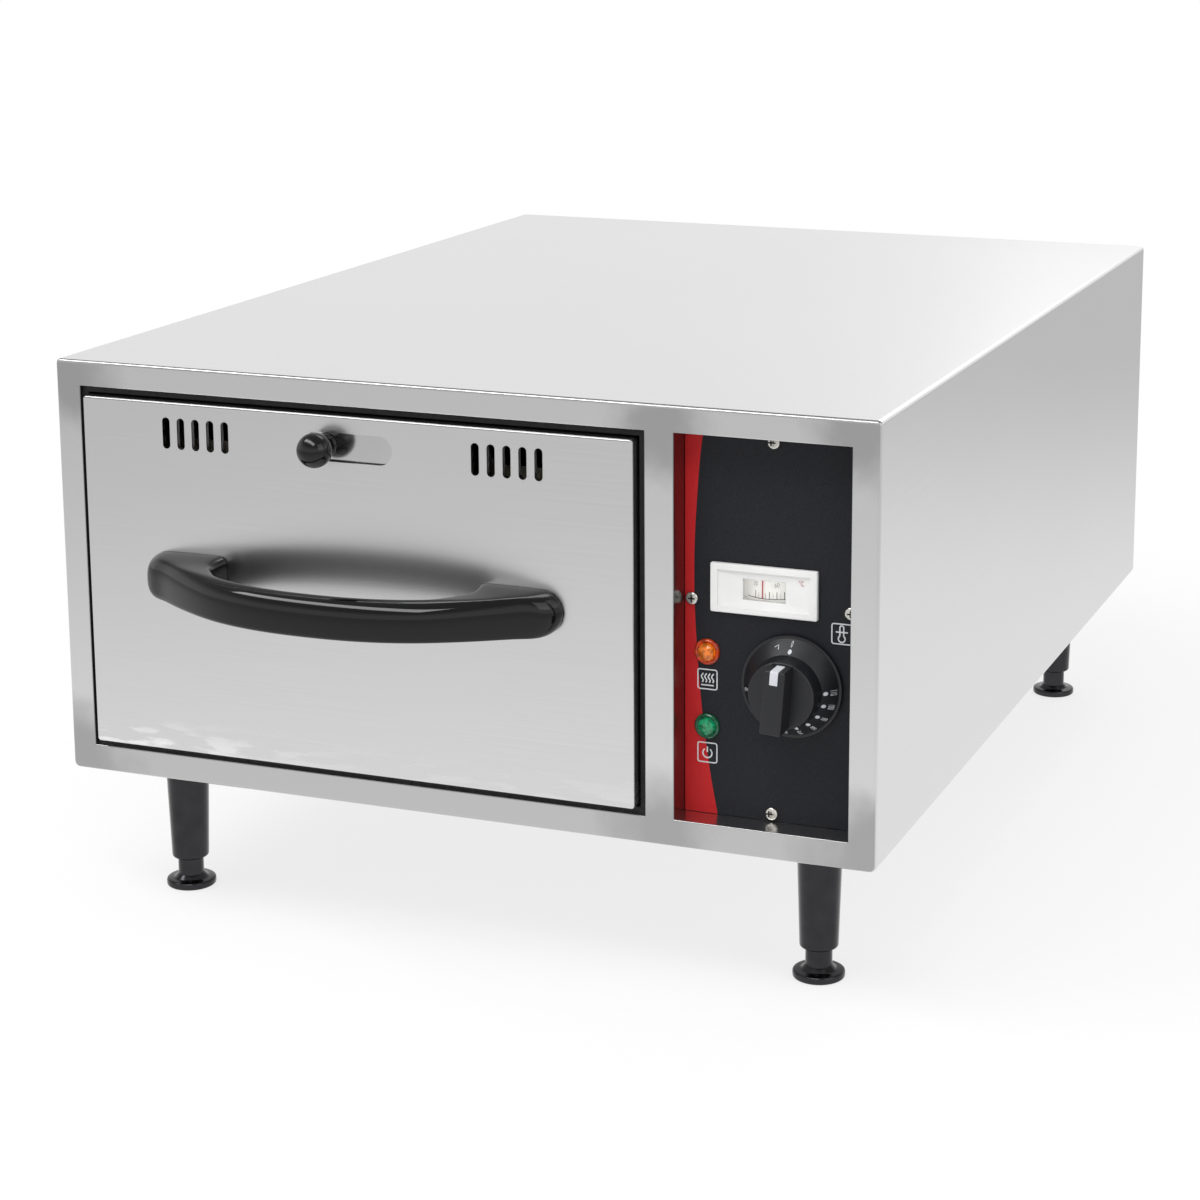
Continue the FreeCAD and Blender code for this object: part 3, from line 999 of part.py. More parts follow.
def make_feelers():
    """Capillary tubes and feelers of thermostat and thermometer, clipped under the bay's roof."""
    back = PANEL_FRONT + PANEL_SHEET
    feeler_x = BAY_X1 - FEELER_INSET
    far, near_hole = wall_holes()[3], wall_holes()[2]
    routes = (("thermostat_feeler", (KNOB_AXIS_X, back + 32, KNOB_AXIS_Z), far, 9),
              ("thermometer_feeler", (DIAL_X, DIAL_AXIS_Y + 8, DIAL_Z), near_hole, -9))
    for name, (x0, y0, z0), hole, lane in routes:
        y, z = hole[1], hole[2]
        points = [(x0, y0, z0), (x0, y0 + 60, z0), (x0 + lane, y0 + 120, z), (x0 + lane, y, z),
                  (feeler_x + FEELER_LENGTH - 2, y, z)]
        line = bent_tube(points, 14, 1.0)
        parts[name] = joined([line, rod(FEELER_RADIUS, feeler_x, y, z, FEELER_LENGTH, (1, 0, 0))])
    clips = []
    for hole in (near_hole, far):
        y, z = hole[1], hole[2]
        for x in (feeler_x + FEELER_LENGTH * 0.15, feeler_x + FEELER_LENGTH * 0.75):
            ring = rod(FEELER_RADIUS + 1.2, x, y, z, 8, (1, 0, 0)).fuse(box(x, x + 8, y - 3, y + 3, z, BAY_Z1))
            clips.append(ring.cut(rod(FEELER_RADIUS + 0.1, x - 1, y, z, 10, (1, 0, 0))))
    parts["feeler_clips"] = Part.makeCompound(clips)


def make_terminal_block():
    """Three-pole terminal block on the floor beside the cable gland."""
    x0, y0, z0 = GLAND_X - TERMINAL_LENGTH / 2, REAR_FACE - TERMINAL_SETBACK, FLOOR_TOP
    block = box(x0, x0 + TERMINAL_LENGTH, y0, y0 + TERMINAL_WIDTH, z0, z0 + TERMINAL_HEIGHT)
    for index in range(3):
        x = x0 + TERMINAL_LENGTH * (index + 0.7) / 3.4
        for share in (0.27, 0.73):
            well = rod(3, x, y0 + TERMINAL_WIDTH * share, z0 + TERMINAL_HEIGHT - 7, 8, (0, 0, 1))
            block = block.cut(well)
    parts["terminal_block"] = block


# ---------------------------------------------------------------- legs and feet
def make_legs():
    """Tapered tubular legs bolted through the floor, each with a screw-in levelling foot."""
    nuts = []
    top = CASE_BOTTOM + SHEET
    for key, (x, y) in leg_places().items():
        leg = Part.makeCone(LEG_END_RADIUS, LEG_TOP_RADIUS, top - LEG_END, vec(x, y, LEG_END))
        leg = leg.makeFillet(2.0, edges_at(leg, lambda p: near(p.z, LEG_END)))
        bore_depth = FOOT_POST_INSERTION + FOOT_TRAVEL_IN + 2
        leg = leg.cut(rod(FOOT_POST_RADIUS + SHAFT_FIT, x, y, LEG_END - 1, bore_depth + 1, (0, 0, 1)))
        stud = rod(LEG_STUD_RADIUS, x, y, top - 1, SHEET + NUT_HEIGHT + 2, (0, 0, 1))
        parts["leg_" + key] = joined([leg, stud])
        nut = hex_bar(16, x, y, FLOOR_TOP, NUT_HEIGHT, (0, 0, 1))
        nuts.append(nut.cut(rod(LEG_STUD_RADIUS, x, y, FLOOR_TOP - 1, NUT_HEIGHT + 3, (0, 0, 1))))
        flange = rod(FOOT_FLANGE_RADIUS, x, y, 0, FOOT_FLANGE, (0, 0, 1))
        flange = flange.makeFillet(1.6, flange.Edges[0:1] + edges_at(flange, lambda p: near(p.z, 0)))
        boss = Part.makeCone(FOOT_POST_RADIUS + 2.5, FOOT_POST_RADIUS, 3, vec(x, y, FOOT_FLANGE))
        post = rod(FOOT_POST_RADIUS, x, y, FOOT_FLANGE, FOOT_SHOWN + FOOT_POST_INSERTION, (0, 0, 1))
        parts["foot_" + key] = joined([flange, boss, post])
    parts["leg_nuts"] = Part.makeCompound(nuts)


# ---------------------------------------------------------------- the whole machine
def build():
    make_front_frame()
    make_case_wrap()
    make_bottom_plate()
    make_rear_panel()
    make_cable_gland()
    make_divider()
    make_bay_liner()
    make_insulation()
    make_heating_element()
    make_runners()
    make_bay_seal()
    make_drawer_front()
    make_handle()
    make_pan_carrier()
    make_food_pan()
    make_damper()
    make_control_panel()
    make_thermometer()
    make_lamps()
    make_thermostat()
    make_feelers()
    make_terminal_block()
    make_legs()


def export():
    os.makedirs("parts", exist_ok=True)
    for name, shape in parts.items():
        placed = shape.copy()
        placed.translate(vec(0, FORE_AFT_SHIFT, 0))
        placed.exportStep("parts/" + name + ".step")
        print(name, len(placed.Solids), round(placed.Volume / 1000, 2), "cm3")


build()
export()
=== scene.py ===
"""Countertop warming drawer: finishes and detail pieces fitted round the fixed frame."""
import math

import bmesh
import bpy
from bpy.props import FloatProperty, FloatVectorProperty, IntProperty, PointerProperty
from mathutils import Matrix, Vector


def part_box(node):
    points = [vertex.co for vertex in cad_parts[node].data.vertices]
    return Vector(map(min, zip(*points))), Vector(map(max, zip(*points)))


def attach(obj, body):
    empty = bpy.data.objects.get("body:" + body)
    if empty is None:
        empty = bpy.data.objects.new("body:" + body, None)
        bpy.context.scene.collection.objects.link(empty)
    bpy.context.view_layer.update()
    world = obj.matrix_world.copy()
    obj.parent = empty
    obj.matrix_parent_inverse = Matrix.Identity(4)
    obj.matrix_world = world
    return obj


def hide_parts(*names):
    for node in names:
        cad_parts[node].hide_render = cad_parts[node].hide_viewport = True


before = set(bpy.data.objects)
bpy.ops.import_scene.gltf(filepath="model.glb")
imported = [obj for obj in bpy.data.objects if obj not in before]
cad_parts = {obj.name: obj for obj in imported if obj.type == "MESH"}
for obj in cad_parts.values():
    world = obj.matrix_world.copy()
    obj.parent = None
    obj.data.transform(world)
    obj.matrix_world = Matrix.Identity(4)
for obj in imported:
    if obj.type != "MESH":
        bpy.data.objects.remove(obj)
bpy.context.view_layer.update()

bl_info = {
    "name": "Warming Drawer",
    "version": (1, 0, 0),
    "blender": (4, 5, 0),
    "location": "3D Viewport > Sidebar > Warming Drawer",
    "description": "Finishes and detail pieces of a countertop warming drawer",
    "category": "Object",
}

MM = 0.001

CAMERA_PLACE = (0.78842, -2.00497, 0.75991)
CAMERA_TURN = (78.32101, -0.02256, 20.55305)    # degrees
CAMERA_LENS = 83.773
CAMERA_SHIFT = (-0.08, -0.16)
SOFTBOXES = (    # name, place, aim, width, depth, watts
    ("long overhead softbox", (-0.7, -1.3, 2.4), (-0.1, -0.2, 0.2), 3.4, 0.65, 48),
    ("fill softbox", (2.2, -1.0, 1.6), (0, 0, 0.2), 1.6, 1.6, 10),
    ("back softbox", (0.3, 2.4, 2.0), (0, 0, 0.3), 1.6, 1.6, 12))
STRIPE_WIDTHS = (    # share of the panel's height, width of the red stripe in mm
    (0.0, 23.0), (0.2, 14.3), (0.4, 9.0), (0.63, 6.4), (0.85, 8.8), (1.0, 12.7))
STRIPE_WIDEST = 30


# ---------------------------------------------------------------- measures taken from the frame
def box_of(name):
    low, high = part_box(name)
    return Vector(low), Vector(high)


def middle_of(name):
    low, high = box_of(name)
    return (low + high) / 2


def seat_of(name):
    """Middle of a node's back face, where it sits on the panel."""
    middle = middle_of(name)
    return Vector((middle.x, box_of(name)[1].y, middle.z))


def linear(hex_colour):
    """sRGB hex, as a paint chart gives it, to the linear colour that shaders want."""
    parts = [int(hex_colour[i:i + 2], 16) / 255 for i in (1, 3, 5)]
    return tuple(p / 12.92 if p <= 0.04045 else ((p + 0.055) / 1.055) ** 2.4 for p in parts)


def scaled(colour, share):
    return tuple(min(1.0, c * share) for c in colour)


def colour_property(name, description, hex_colour):
    return FloatVectorProperty(name=name, description=description, subtype="COLOR", size=3,
                               min=0, max=1, default=linear(hex_colour))


def length_property(name, description, millimetres):
    return FloatProperty(name=name, description=description, unit="LENGTH", precision=5,
                         default=millimetres * MM)


def angle_property(name, description, degrees):
    return FloatProperty(name=name, description=description, subtype="ANGLE", default=math.radians(degrees))


def number_property(name, description, value):
    return FloatProperty(name=name, description=description, default=value)


# ---------------------------------------------------------------- settings
class SheetMetalSettings(bpy.types.PropertyGroup):
    case: colour_property("Case", "Stainless of the top and sides", "#E2E2E2")
    front: colour_property("Front frame", "Ground stainless of the face frame", "#DEDEDE")
    drawer: colour_property("Drawer front", "Fine-brushed stainless of the drawer", "#E0E0E0")
    streak: length_property("Grain width", "Width of one brushing streak", 1.1)
    patch: length_property("Weld patch", "How far a dull weld patch reaches from its corner", 48)


class HandleSettings(bpy.types.PropertyGroup):
    colour: colour_property("Colour", "Black moulded phenolic", "#0B0B0C")
    half_span: length_property("Half span", "Middle of the handle to a foot's outer tip", 156.5)
    reach: length_property("Reach", "How far the band's middle stands off the drawer", 71)
    bow: number_property("Bow", "2 is a parabola; more keeps the middle flatter", 2.4)
    band_height: length_property("Band height", "Height of the curved band", 27)
    band_thickness: length_property("Band thickness", "Front to back thickness of the band", 15)
    front_edge: length_property("Front edge", "Rounding of the band's upper front edge", 11.5)
    low_edge: length_property("Low edge", "Rounding of the band's lower front edge", 3)
    back_edge: length_property("Back edge", "Rounding of the band's back edges", 3.5)
    foot_length: length_property("Foot length", "Length of each foot on the drawer", 62)
    foot_height: length_property("Foot height", "Height of each foot on the drawer", 31)


class DamperKnobSettings(bpy.types.PropertyGroup):
    colour: colour_property("Colour", "Black phenolic ball", "#0B0B0C")
    ball: length_property("Ball radius", "Radius of the ball", 12)
    neck: length_property("Neck radius", "Radius of the neck behind the ball", 5)


class LegSettings(bpy.types.PropertyGroup):
    colour: colour_property("Colour", "Black nickel plate", "#3E3E40")
    end: length_property("Lower radius", "Outer radius of a leg at its lower end", 13.4)
    post: length_property("Post radius", "Radius of a foot's post", 9.25)
    flange: length_property("Flange", "Thickness of a foot's flange", 5.5)
    collar: length_property("Collar", "Height of the collar that stands on the flange", 3)


class PanelPrintSettings(bpy.types.PropertyGroup):
    field: colour_property("Field", "Charcoal ground of the printed panel", "#1D1E23")
    stripe: colour_property("Stripe", "Red stripe along the panel's left edge", "#BE2023")
    ink: colour_property("Ink", "Symbols", "#D6D8DA")
    symbol: length_property("Symbol size", "Side of a symbol's rounded frame", 13.4)
    line: length_property("Line width", "Width of a symbol's lines", 0.85)


class ThermometerSettings(bpy.types.PropertyGroup):
    body: colour_property("Body", "White moulded case", "#F2F2F1")
    scale: colour_property("Scale", "Printed drum", "#F0EFEA")
    pointer: colour_property("Pointer", "Red pointer", "#D4707A")
    border: length_property("Border", "Width of the outer rim", 5)
    sunk: length_property("Sunk face", "Depth of the sunk face's outer edge", 1.2)
    window_width: length_property("Window width", "Width of the window over the drum", 29)
    window_height: length_property("Window height", "Height of the window over the drum", 14)


class LampSettings(bpy.types.PropertyGroup):
    amber: colour_property("Amber", "Heating lamp's lens", "#E0740E")
    green: colour_property("Green", "Power lamp's lens", "#0C9260")
    amber_rim: colour_property("Amber rim", "Deeper amber of the thick rim", "#C8400C")
    green_rim: colour_property("Green rim", "Deeper green of the thick rim", "#0A5C3C")
    radius: length_property("Radius", "Outer radius of a lens", 8.8)
    facets: IntProperty(name="Facets", description="Facets round the reflector", default=14, min=6, max=48)


class KnobSettings(bpy.types.PropertyGroup):
    colour: colour_property("Colour", "Black moulded nylon", "#16171B")
    mark: colour_property("Marks", "White printing", "#D6D9DE")
    land: length_property("Rim", "Width of the flat rim outside the cone", 1.8)
    edge: length_property("Edge", "Thickness of the skirt at its rim", 2)
    grip: length_property("Grip radius", "Radius of the grip where it leaves the cone", 24)
    taper: length_property("Taper", "How much smaller the grip is at its face", 1.4)
    body: length_property("Body height", "Height of the body above the cone", 12.5)
    bar: length_property("Bar height", "Height of the finger bar above the body", 17)
    bar_width: length_property("Bar width", "Width of the finger bar", 14.4)
    rounding: length_property("Rounding", "Rounding of the grip's edges", 1.2)
    pointer_width: length_property("Pointer width", "Width of the white pointer", 5.4)
    pointer_length: length_property("Pointer length", "Length of the pointer on the bar's face", 9)
    turned: angle_property("Turned", "Angle of the bar from upright, clockwise", 4.3)
    step: angle_property("Step", "Angle between two figures", 19.2)
    highest: IntProperty(name="Highest mark", description="Largest number on the skirt", default=110)
    lowest: IntProperty(name="Lowest mark", description="Smallest number after 0", default=20)


class StageSettings(bpy.types.PropertyGroup):
    floor: colour_property("Floor", "Matt pale worktop", "#F4F4F4")
    light: number_property("Room light", "Strength of the even room light", 0.62)
    near: number_property("Near floor", "Brightness of the near floor in reflections", 0.92)
    far: number_property("Far floor", "Brightness of the far floor in reflections", 0.61)
    ceiling: number_property("Ceiling", "Brightness of the ceiling in reflections", 0.38)


SETTINGS = {
    "drawer_sheet": SheetMetalSettings, "drawer_handle": HandleSettings, "drawer_damper": DamperKnobSettings,
    "drawer_legs": LegSettings, "drawer_print": PanelPrintSettings, "drawer_thermometer": ThermometerSettings,
    "drawer_lamps": LampSettings, "drawer_knob": KnobSettings, "drawer_stage": StageSettings,
}


# ---------------------------------------------------------------- mesh helpers
def finish_piece(bm, name, body, material, smooth, replaces=None, subdivide=0):
    """Turns a bmesh into an object that rides on a body, shaded smooth up to an angle."""
    bmesh.ops.remove_doubles(bm, verts=bm.verts, dist=1e-6)
    bmesh.ops.recalc_face_normals(bm, faces=bm.faces)
    limit = math.radians(smooth)
    for face in bm.faces:
        face.smooth = smooth > 0
    for edge in bm.edges:
        if len(edge.link_faces) == 2 and edge.calc_face_angle(0) > limit:
            edge.smooth = False
    piece = mesh_object(bm, name, material)
    if subdivide:
        surface = piece.modifiers.new("Moulded surface", "SUBSURF")
        surface.levels = surface.render_levels = subdivide
    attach(piece, body)
    if replaces:
        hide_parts(replaces)


def mesh_object(bm, name, material):
    mesh = bpy.data.meshes.new(name)
    bm.to_mesh(mesh)
    bm.free()
    mesh.materials.append(material)
    made = bpy.data.objects.new(name, mesh)
    bpy.context.scene.collection.objects.link(made)
    return made


def lathe(profile, centre, axis, steps):
    """Spins a profile of (radius, height) about an axis through centre."""
    turn = {"Y": Matrix.Rotation(math.radians(-90), 4, "X"), "Z": Matrix.Identity(4),
            "-Y": Matrix.Rotation(math.radians(90), 4, "X")}[axis]
    place = Matrix.Translation(centre) @ turn
    bm = bmesh.new()
    verts = [bm.verts.new(place @ Vector((radius, 0, height))) for radius, height in profile]
    edges = [bm.edges.new(pair) for pair in zip(verts, verts[1:])]
    bmesh.ops.spin(bm, geom=verts + edges, cent=centre, axis=turn @ Vector((0, 0, 1)),
                   angle=math.tau, steps=steps, use_merge=True)
    bmesh.ops.remove_doubles(bm, verts=bm.verts, dist=1e-7)
    return bm


def arc_points(radius, centre_r, centre_h, start, end, count):
    """Profile points on an arc, angles in degrees from the outward direction."""
    points = []
    for index in range(count + 1):
        angle = math.radians(start + (end - start) * index / count)
        points.append((centre_r + radius * math.cos(angle), centre_h + radius * math.sin(angle)))
    return points


def block(bm, low, high):
    """Plain block between two corners."""
    low, high = Vector(low), Vector(high)
    size = high - low
    matrix = Matrix.Translation((low + high) / 2) @ Matrix.Diagonal((size.x, size.y, size.z, 1))
    return bmesh.ops.create_cube(bm, size=1, matrix=matrix)["verts"]


def ring(bm, points):
    """Closed loop through the points; returns its edges."""
    verts = [bm.verts.new(point) for point in points]
    return [bm.edges.new((verts[index - 1], vert)) for index, vert in enumerate(verts)]


def loft(bm, outlines):
    """Skins closed outlines one after the other; returns the edges of the last."""
    before = None
    for outline in outlines:
        loop = ring(bm, outline)
        if before:
            bmesh.ops.bridge_loops(bm, edges=before + loop)
        before = loop
    return before


def rounded_outline(width, height, rounds, steps=4):
    """Outline of a rounded rectangle from (0, -height / 2) to (width, height / 2).

    The four roundings run anticlockwise from the top right corner.
    """
    outline = []
    for quarter, (u, v, radius) in enumerate(zip((width, 0, 0, width), (1, 1, -1, -1), rounds)):
        centre_u = u - radius if u else radius
        centre_v = v * (height / 2 - radius)
        for step in range(steps + 1):
            angle = math.radians(90 * quarter + 90 * step / steps)
            outline.append((centre_u + radius * math.cos(angle), centre_v + radius * math.sin(angle)))
    return outline


def print_curve(bm, curve, matrix):
    """Adds the finished mesh of a text or line curve, put in place, and drops the curve."""
    holder = bpy.data.objects.new("print", curve)
    bpy.context.scene.collection.objects.link(holder)
    bpy.context.view_layer.update()
    mesh = bpy.data.meshes.new_from_object(holder)
    mesh.transform(matrix)
    bpy.data.objects.remove(holder)
    bm.from_mesh(mesh)
    bpy.data.meshes.remove(mesh)


def print_text(bm, words, height, matrix, condensed):
    """Flat printed figures, centred, lying on the plane that the matrix gives."""
    curve = bpy.data.curves.new("figures", "FONT")
    curve.body, curve.size = words, height
    curve.align_x, curve.align_y = "CENTER", "CENTER"
    curve.extrude = 0.04 * MM
    print_curve(bm, curve, matrix @ Matrix.Diagonal((condensed, 1, 1, 1)))


def print_lines(bm, strokes, width, matrix, cyclic=False):
    """Printed lines: each stroke is a list of (x, y); the lines have round ends and lie nearly flat."""
    curve = bpy.data.curves.new("strokes", "CURVE")
    curve.dimensions, curve.bevel_depth, curve.bevel_resolution = "3D", width / 2, 2
    curve.use_fill_caps = True
    for stroke in strokes:
        spline = curve.splines.new("POLY")
        spline.points.add(len(stroke) - 1)
        for point, (x, y) in zip(spline.points, stroke):
            point.co = (x, y, 0, 1)
        spline.use_cyclic_u = cyclic
    print_curve(bm, curve, matrix @ Matrix.Diagonal((1, 1, 0.12, 1)))


FACING_FRONT = Matrix.Rotation(math.radians(90), 4, "X")


# ---------------------------------------------------------------- material helpers
def add(tree, kind, inputs=None, **settings):
    """Adds a shader node; its inputs are values, sockets to link, or nodes whose result is linked."""
    made = tree.nodes.new("ShaderNode" + kind)
    for key, value in settings.items():
        setattr(made, key, value)
    for key, value in (inputs or {}).items():
        socket = made.inputs[key]
        if isinstance(value, bpy.types.Node):
            value = next(result for result in value.outputs if result.enabled)
        if isinstance(value, bpy.types.NodeSocket):
            tree.links.new(value, socket)
        elif socket.type == "RGBA" and len(value) == 3:
            socket.default_value = (*value, 1)
        else:
            socket.default_value = value
    return made


def new_material(name):
    """Empty material, its node tree, and the piece's own coordinates in metres."""
    material = bpy.data.materials.new(name)
    material.use_nodes = True
    tree = material.node_tree
    tree.nodes.clear()
    return material, tree, add(tree, "TexCoord").outputs["Object"]


def between(tree, source, dark, pale, low=0.3, high=0.7):
    """Colour that goes from dark to pale while the source rises from low to high."""
    share = add(tree, "MapRange", {0: source, 1: low, 2: high})
    return add(tree, "Mix", {0: share, 6: dark, 7: pale}, data_type="RGBA")


def with_surface(material, tree, look, bump=()):
    """Closes a material with its surface; bump, where there is any, is a height, strength and distance."""
    if bump:
        look["Normal"] = add(tree, "Bump", dict(zip(("Height", "Strength", "Distance"), bump)))
    add(tree, "OutputMaterial", {"Surface": add(tree, "BsdfPrincipled", look)})
    return material


def brushed_stainless(name, colour, streak, grain, roughness=0.27):
    """304 stainless sheet, belt-brushed along one direction.

    Brushing spreads reflections, so the sheet looks milky, with long faint streaks. The real grain
    is about 0.1 mm and can't show at this distance, so the streaks are drawn wider.
    """
    material, tree, place = new_material(name)
    along = tuple(6.0 if line else 1 / streak for line in grain)
    stretched = add(tree, "Mapping", {"Vector": place, "Scale": along})
    lines = add(tree, "TexNoise", {"Vector": stretched, "Scale": 1.0, "Detail": 2.0})
    clouds = add(tree, "TexNoise", {"Vector": place, "Scale": 7.0, "Detail": 4.0})
    shade = add(tree, "Math", {0: lines, 1: clouds}, operation="ADD")
    base = between(tree, shade, scaled(colour, 0.98), colour, 0.7, 1.3)
    gloss = add(tree, "MapRange", {0: lines, 1: 0.3, 2: 0.7, 3: roughness - 0.02, 4: roughness + 0.02})
    look = {"Base Color": base, "Metallic": 1.0, "Roughness": gloss}
    return with_surface(material, tree, look, (lines, 0.01, 0.0001))


def satin_metal(name, colour, roughness, mottling, size):
    """Plated or drawn metal with the faint cloudiness that plating and handling leave."""
    material, tree, place = new_material(name)
    clouds = add(tree, "TexNoise", {"Vector": place, "Scale": 1 / size, "Detail": 5.0})
    base = between(tree, clouds, scaled(colour, 1 - mottling), colour)
    gloss = add(tree, "MapRange", {0: clouds, 1: 0.3, 2: 0.7, 3: roughness - 0.04, 4: roughness + 0.06})
    return with_surface(material, tree, {"Base Color": base, "Metallic": 1.0, "Roughness": gloss})


def moulded_plastic(name, colour, roughness, grain=0.0004, strength=0.15, specular=0.5):
    """Injection or compression moulded plastic: even colour, fine spark-eroded grain, soft gloss."""
    material, tree, place = new_material(name)
    fine = add(tree, "TexNoise", {"Vector": place, "Scale": 1 / grain, "Detail": 2.0})
    broad = add(tree, "TexNoise", {"Vector": place, "Scale": 30.0, "Detail": 3.0})
    base = between(tree, broad, scaled(colour, 0.92), colour)
    gloss = add(tree, "MapRange", {0: broad, 1: 0.3, 2: 0.7, 3: roughness - 0.03, 4: roughness + 0.03})
    look = {"Base Color": base, "Roughness": gloss, "IOR": 1.5, "Specular IOR Level": specular}
    return with_surface(material, tree, look, (fine, strength, 0.00004))


def printed_ink_or_shade(name, colour):
    """Screen-printed ink: opaque, matt, slightly uneven in tone; also used for painted shade."""
    material, tree, place = new_material(name)
    grain = add(tree, "TexNoise", {"Vector": place, "Scale": 2500.0, "Detail": 1.0})
    base = between(tree, grain, scaled(colour, 0.85), colour)
    return with_surface(material, tree, {"Base Color": base, "Roughness": 0.5})


def paint_node(names, material):
    """Gives carried-over nodes their finish."""
    for name in names:
        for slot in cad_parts[name].material_slots:
            slot.material = material


# ---------------------------------------------------------------- stage
class WARMER_OT_stage(bpy.types.Operator):
    """Sets up the worktop, the soft lights, the white surroundings and the camera"""
    bl_idname = "warmer.stage"
    bl_label = "Stage"

    def execute(self, context):
        settings = context.scene.drawer_stage
        self.camera(context)
        self.room(context, settings)
        self.floor(settings)
        self.lights(context)
        context.scene.view_settings.view_transform = "Standard"
        return {"FINISHED"}

    def camera(self, context):
        data = bpy.data.cameras.new("camera")
        data.sensor_width, data.lens = 36.0, CAMERA_LENS
        data.shift_x, data.shift_y = CAMERA_SHIFT
        data.clip_end = 60
        camera = bpy.data.objects.new("camera", data)
        camera.location = CAMERA_PLACE
        camera.rotation_euler = [math.radians(angle) for angle in CAMERA_TURN]
        context.scene.collection.objects.link(camera)
        context.scene.camera = camera

    def room(self, context, settings):
        """White walls to the eye and in reflections under a dimmer ceiling; a milder even light."""
        world = bpy.data.worlds.new("room")
        context.scene.world = world
        world.use_nodes = True
        tree = world.node_tree
        tree.nodes.clear()
        path = add(tree, "LightPath")
        direction = add(tree, "TexCoord").outputs["Generated"]
        height = add(tree, "SeparateXYZ", {0: direction}).outputs[2]
        mirrored = add(tree, "MapRange", {0: height, 1: 0.25, 2: 0.6, 3: 1.0, 4: settings.ceiling},
                       interpolation_type="SMOOTHSTEP")
        in_gloss = add(tree, "Mix", {0: path.outputs["Is Glossy Ray"], 2: settings.light, 3: mirrored})
        straight = add(tree, "Math", {0: path.outputs["Is Camera Ray"],
                                                1: path.outputs["Is Transmission Ray"]}, operation="MAXIMUM")
        strength = add(tree, "Mix", {0: straight, 2: in_gloss, 3: 1.0})
        background = add(tree, "Background", {"Color": (1, 1, 1), "Strength": strength})
        add(tree, "OutputWorld", {"Surface": background})

    def floor(self, settings):
        """Matt pale worktop. Near the object it is partly lit by the lamps and so keeps the object's
        shadow; further off it goes over into the white surroundings."""
        material, tree, place = new_material("matt pale worktop")
        tooth = add(tree, "TexNoise", {"Vector": place, "Scale": 60.0, "Detail": 3.0})
        base = between(tree, tooth, scaled(settings.floor, 0.98), settings.floor)
        lit = add(tree, "BsdfPrincipled", {"Base Color": base, "Roughness": 0.9})
        path = add(tree, "LightPath")
        away = add(tree, "VectorMath", {0: place}, operation="LENGTH").outputs["Value"]
        mirrored = add(tree, "MapRange", {0: away, 1: 0.6, 2: 2.2, 3: settings.near, 4: settings.far},
                       interpolation_type="SMOOTHSTEP")
        glow = add(tree, "Mix", {0: path.outputs["Is Glossy Ray"], 2: 1.0, 3: mirrored})
        white = add(tree, "Emission", {"Color": (1, 1, 1), "Strength": glow})
        fade = add(tree, "MapRange", {0: away, 1: 0.5, 2: 1.1, 3: 0.75, 4: 1.0},
                   interpolation_type="SMOOTHSTEP")
        seen = add(tree, "Math", {0: path.outputs["Is Camera Ray"], 1: fade}, operation="MULTIPLY")
        for ray in ("Is Glossy Ray", "Is Transmission Ray"):
            seen = add(tree, "Math", {0: seen, 1: path.outputs[ray]}, operation="MAXIMUM")
        mixed = add(tree, "MixShader", {0: seen, 1: lit, 2: white})
        add(tree, "OutputMaterial", {"Surface": mixed})
        bm = bmesh.new()
        bmesh.ops.create_grid(bm, x_segments=1, y_segments=1, size=20)
        bmesh.ops.translate(bm, verts=bm.verts, vec=(0, 0, -0.0002))
        mesh_object(bm, "worktop", material)

    def lights(self, context):
        for name, place, aim, width, depth, watts in SOFTBOXES:
            data = bpy.data.lights.new(name, "AREA")
            data.shape, data.size, data.size_y, data.energy = "RECTANGLE", width, depth, watts
            lamp = bpy.data.objects.new(name, data)
            lamp.location = place
            lamp.rotation_euler = (Vector(aim) - Vector(place)).to_track_quat("-Z", "Y").to_euler()
            context.scene.collection.objects.link(lamp)


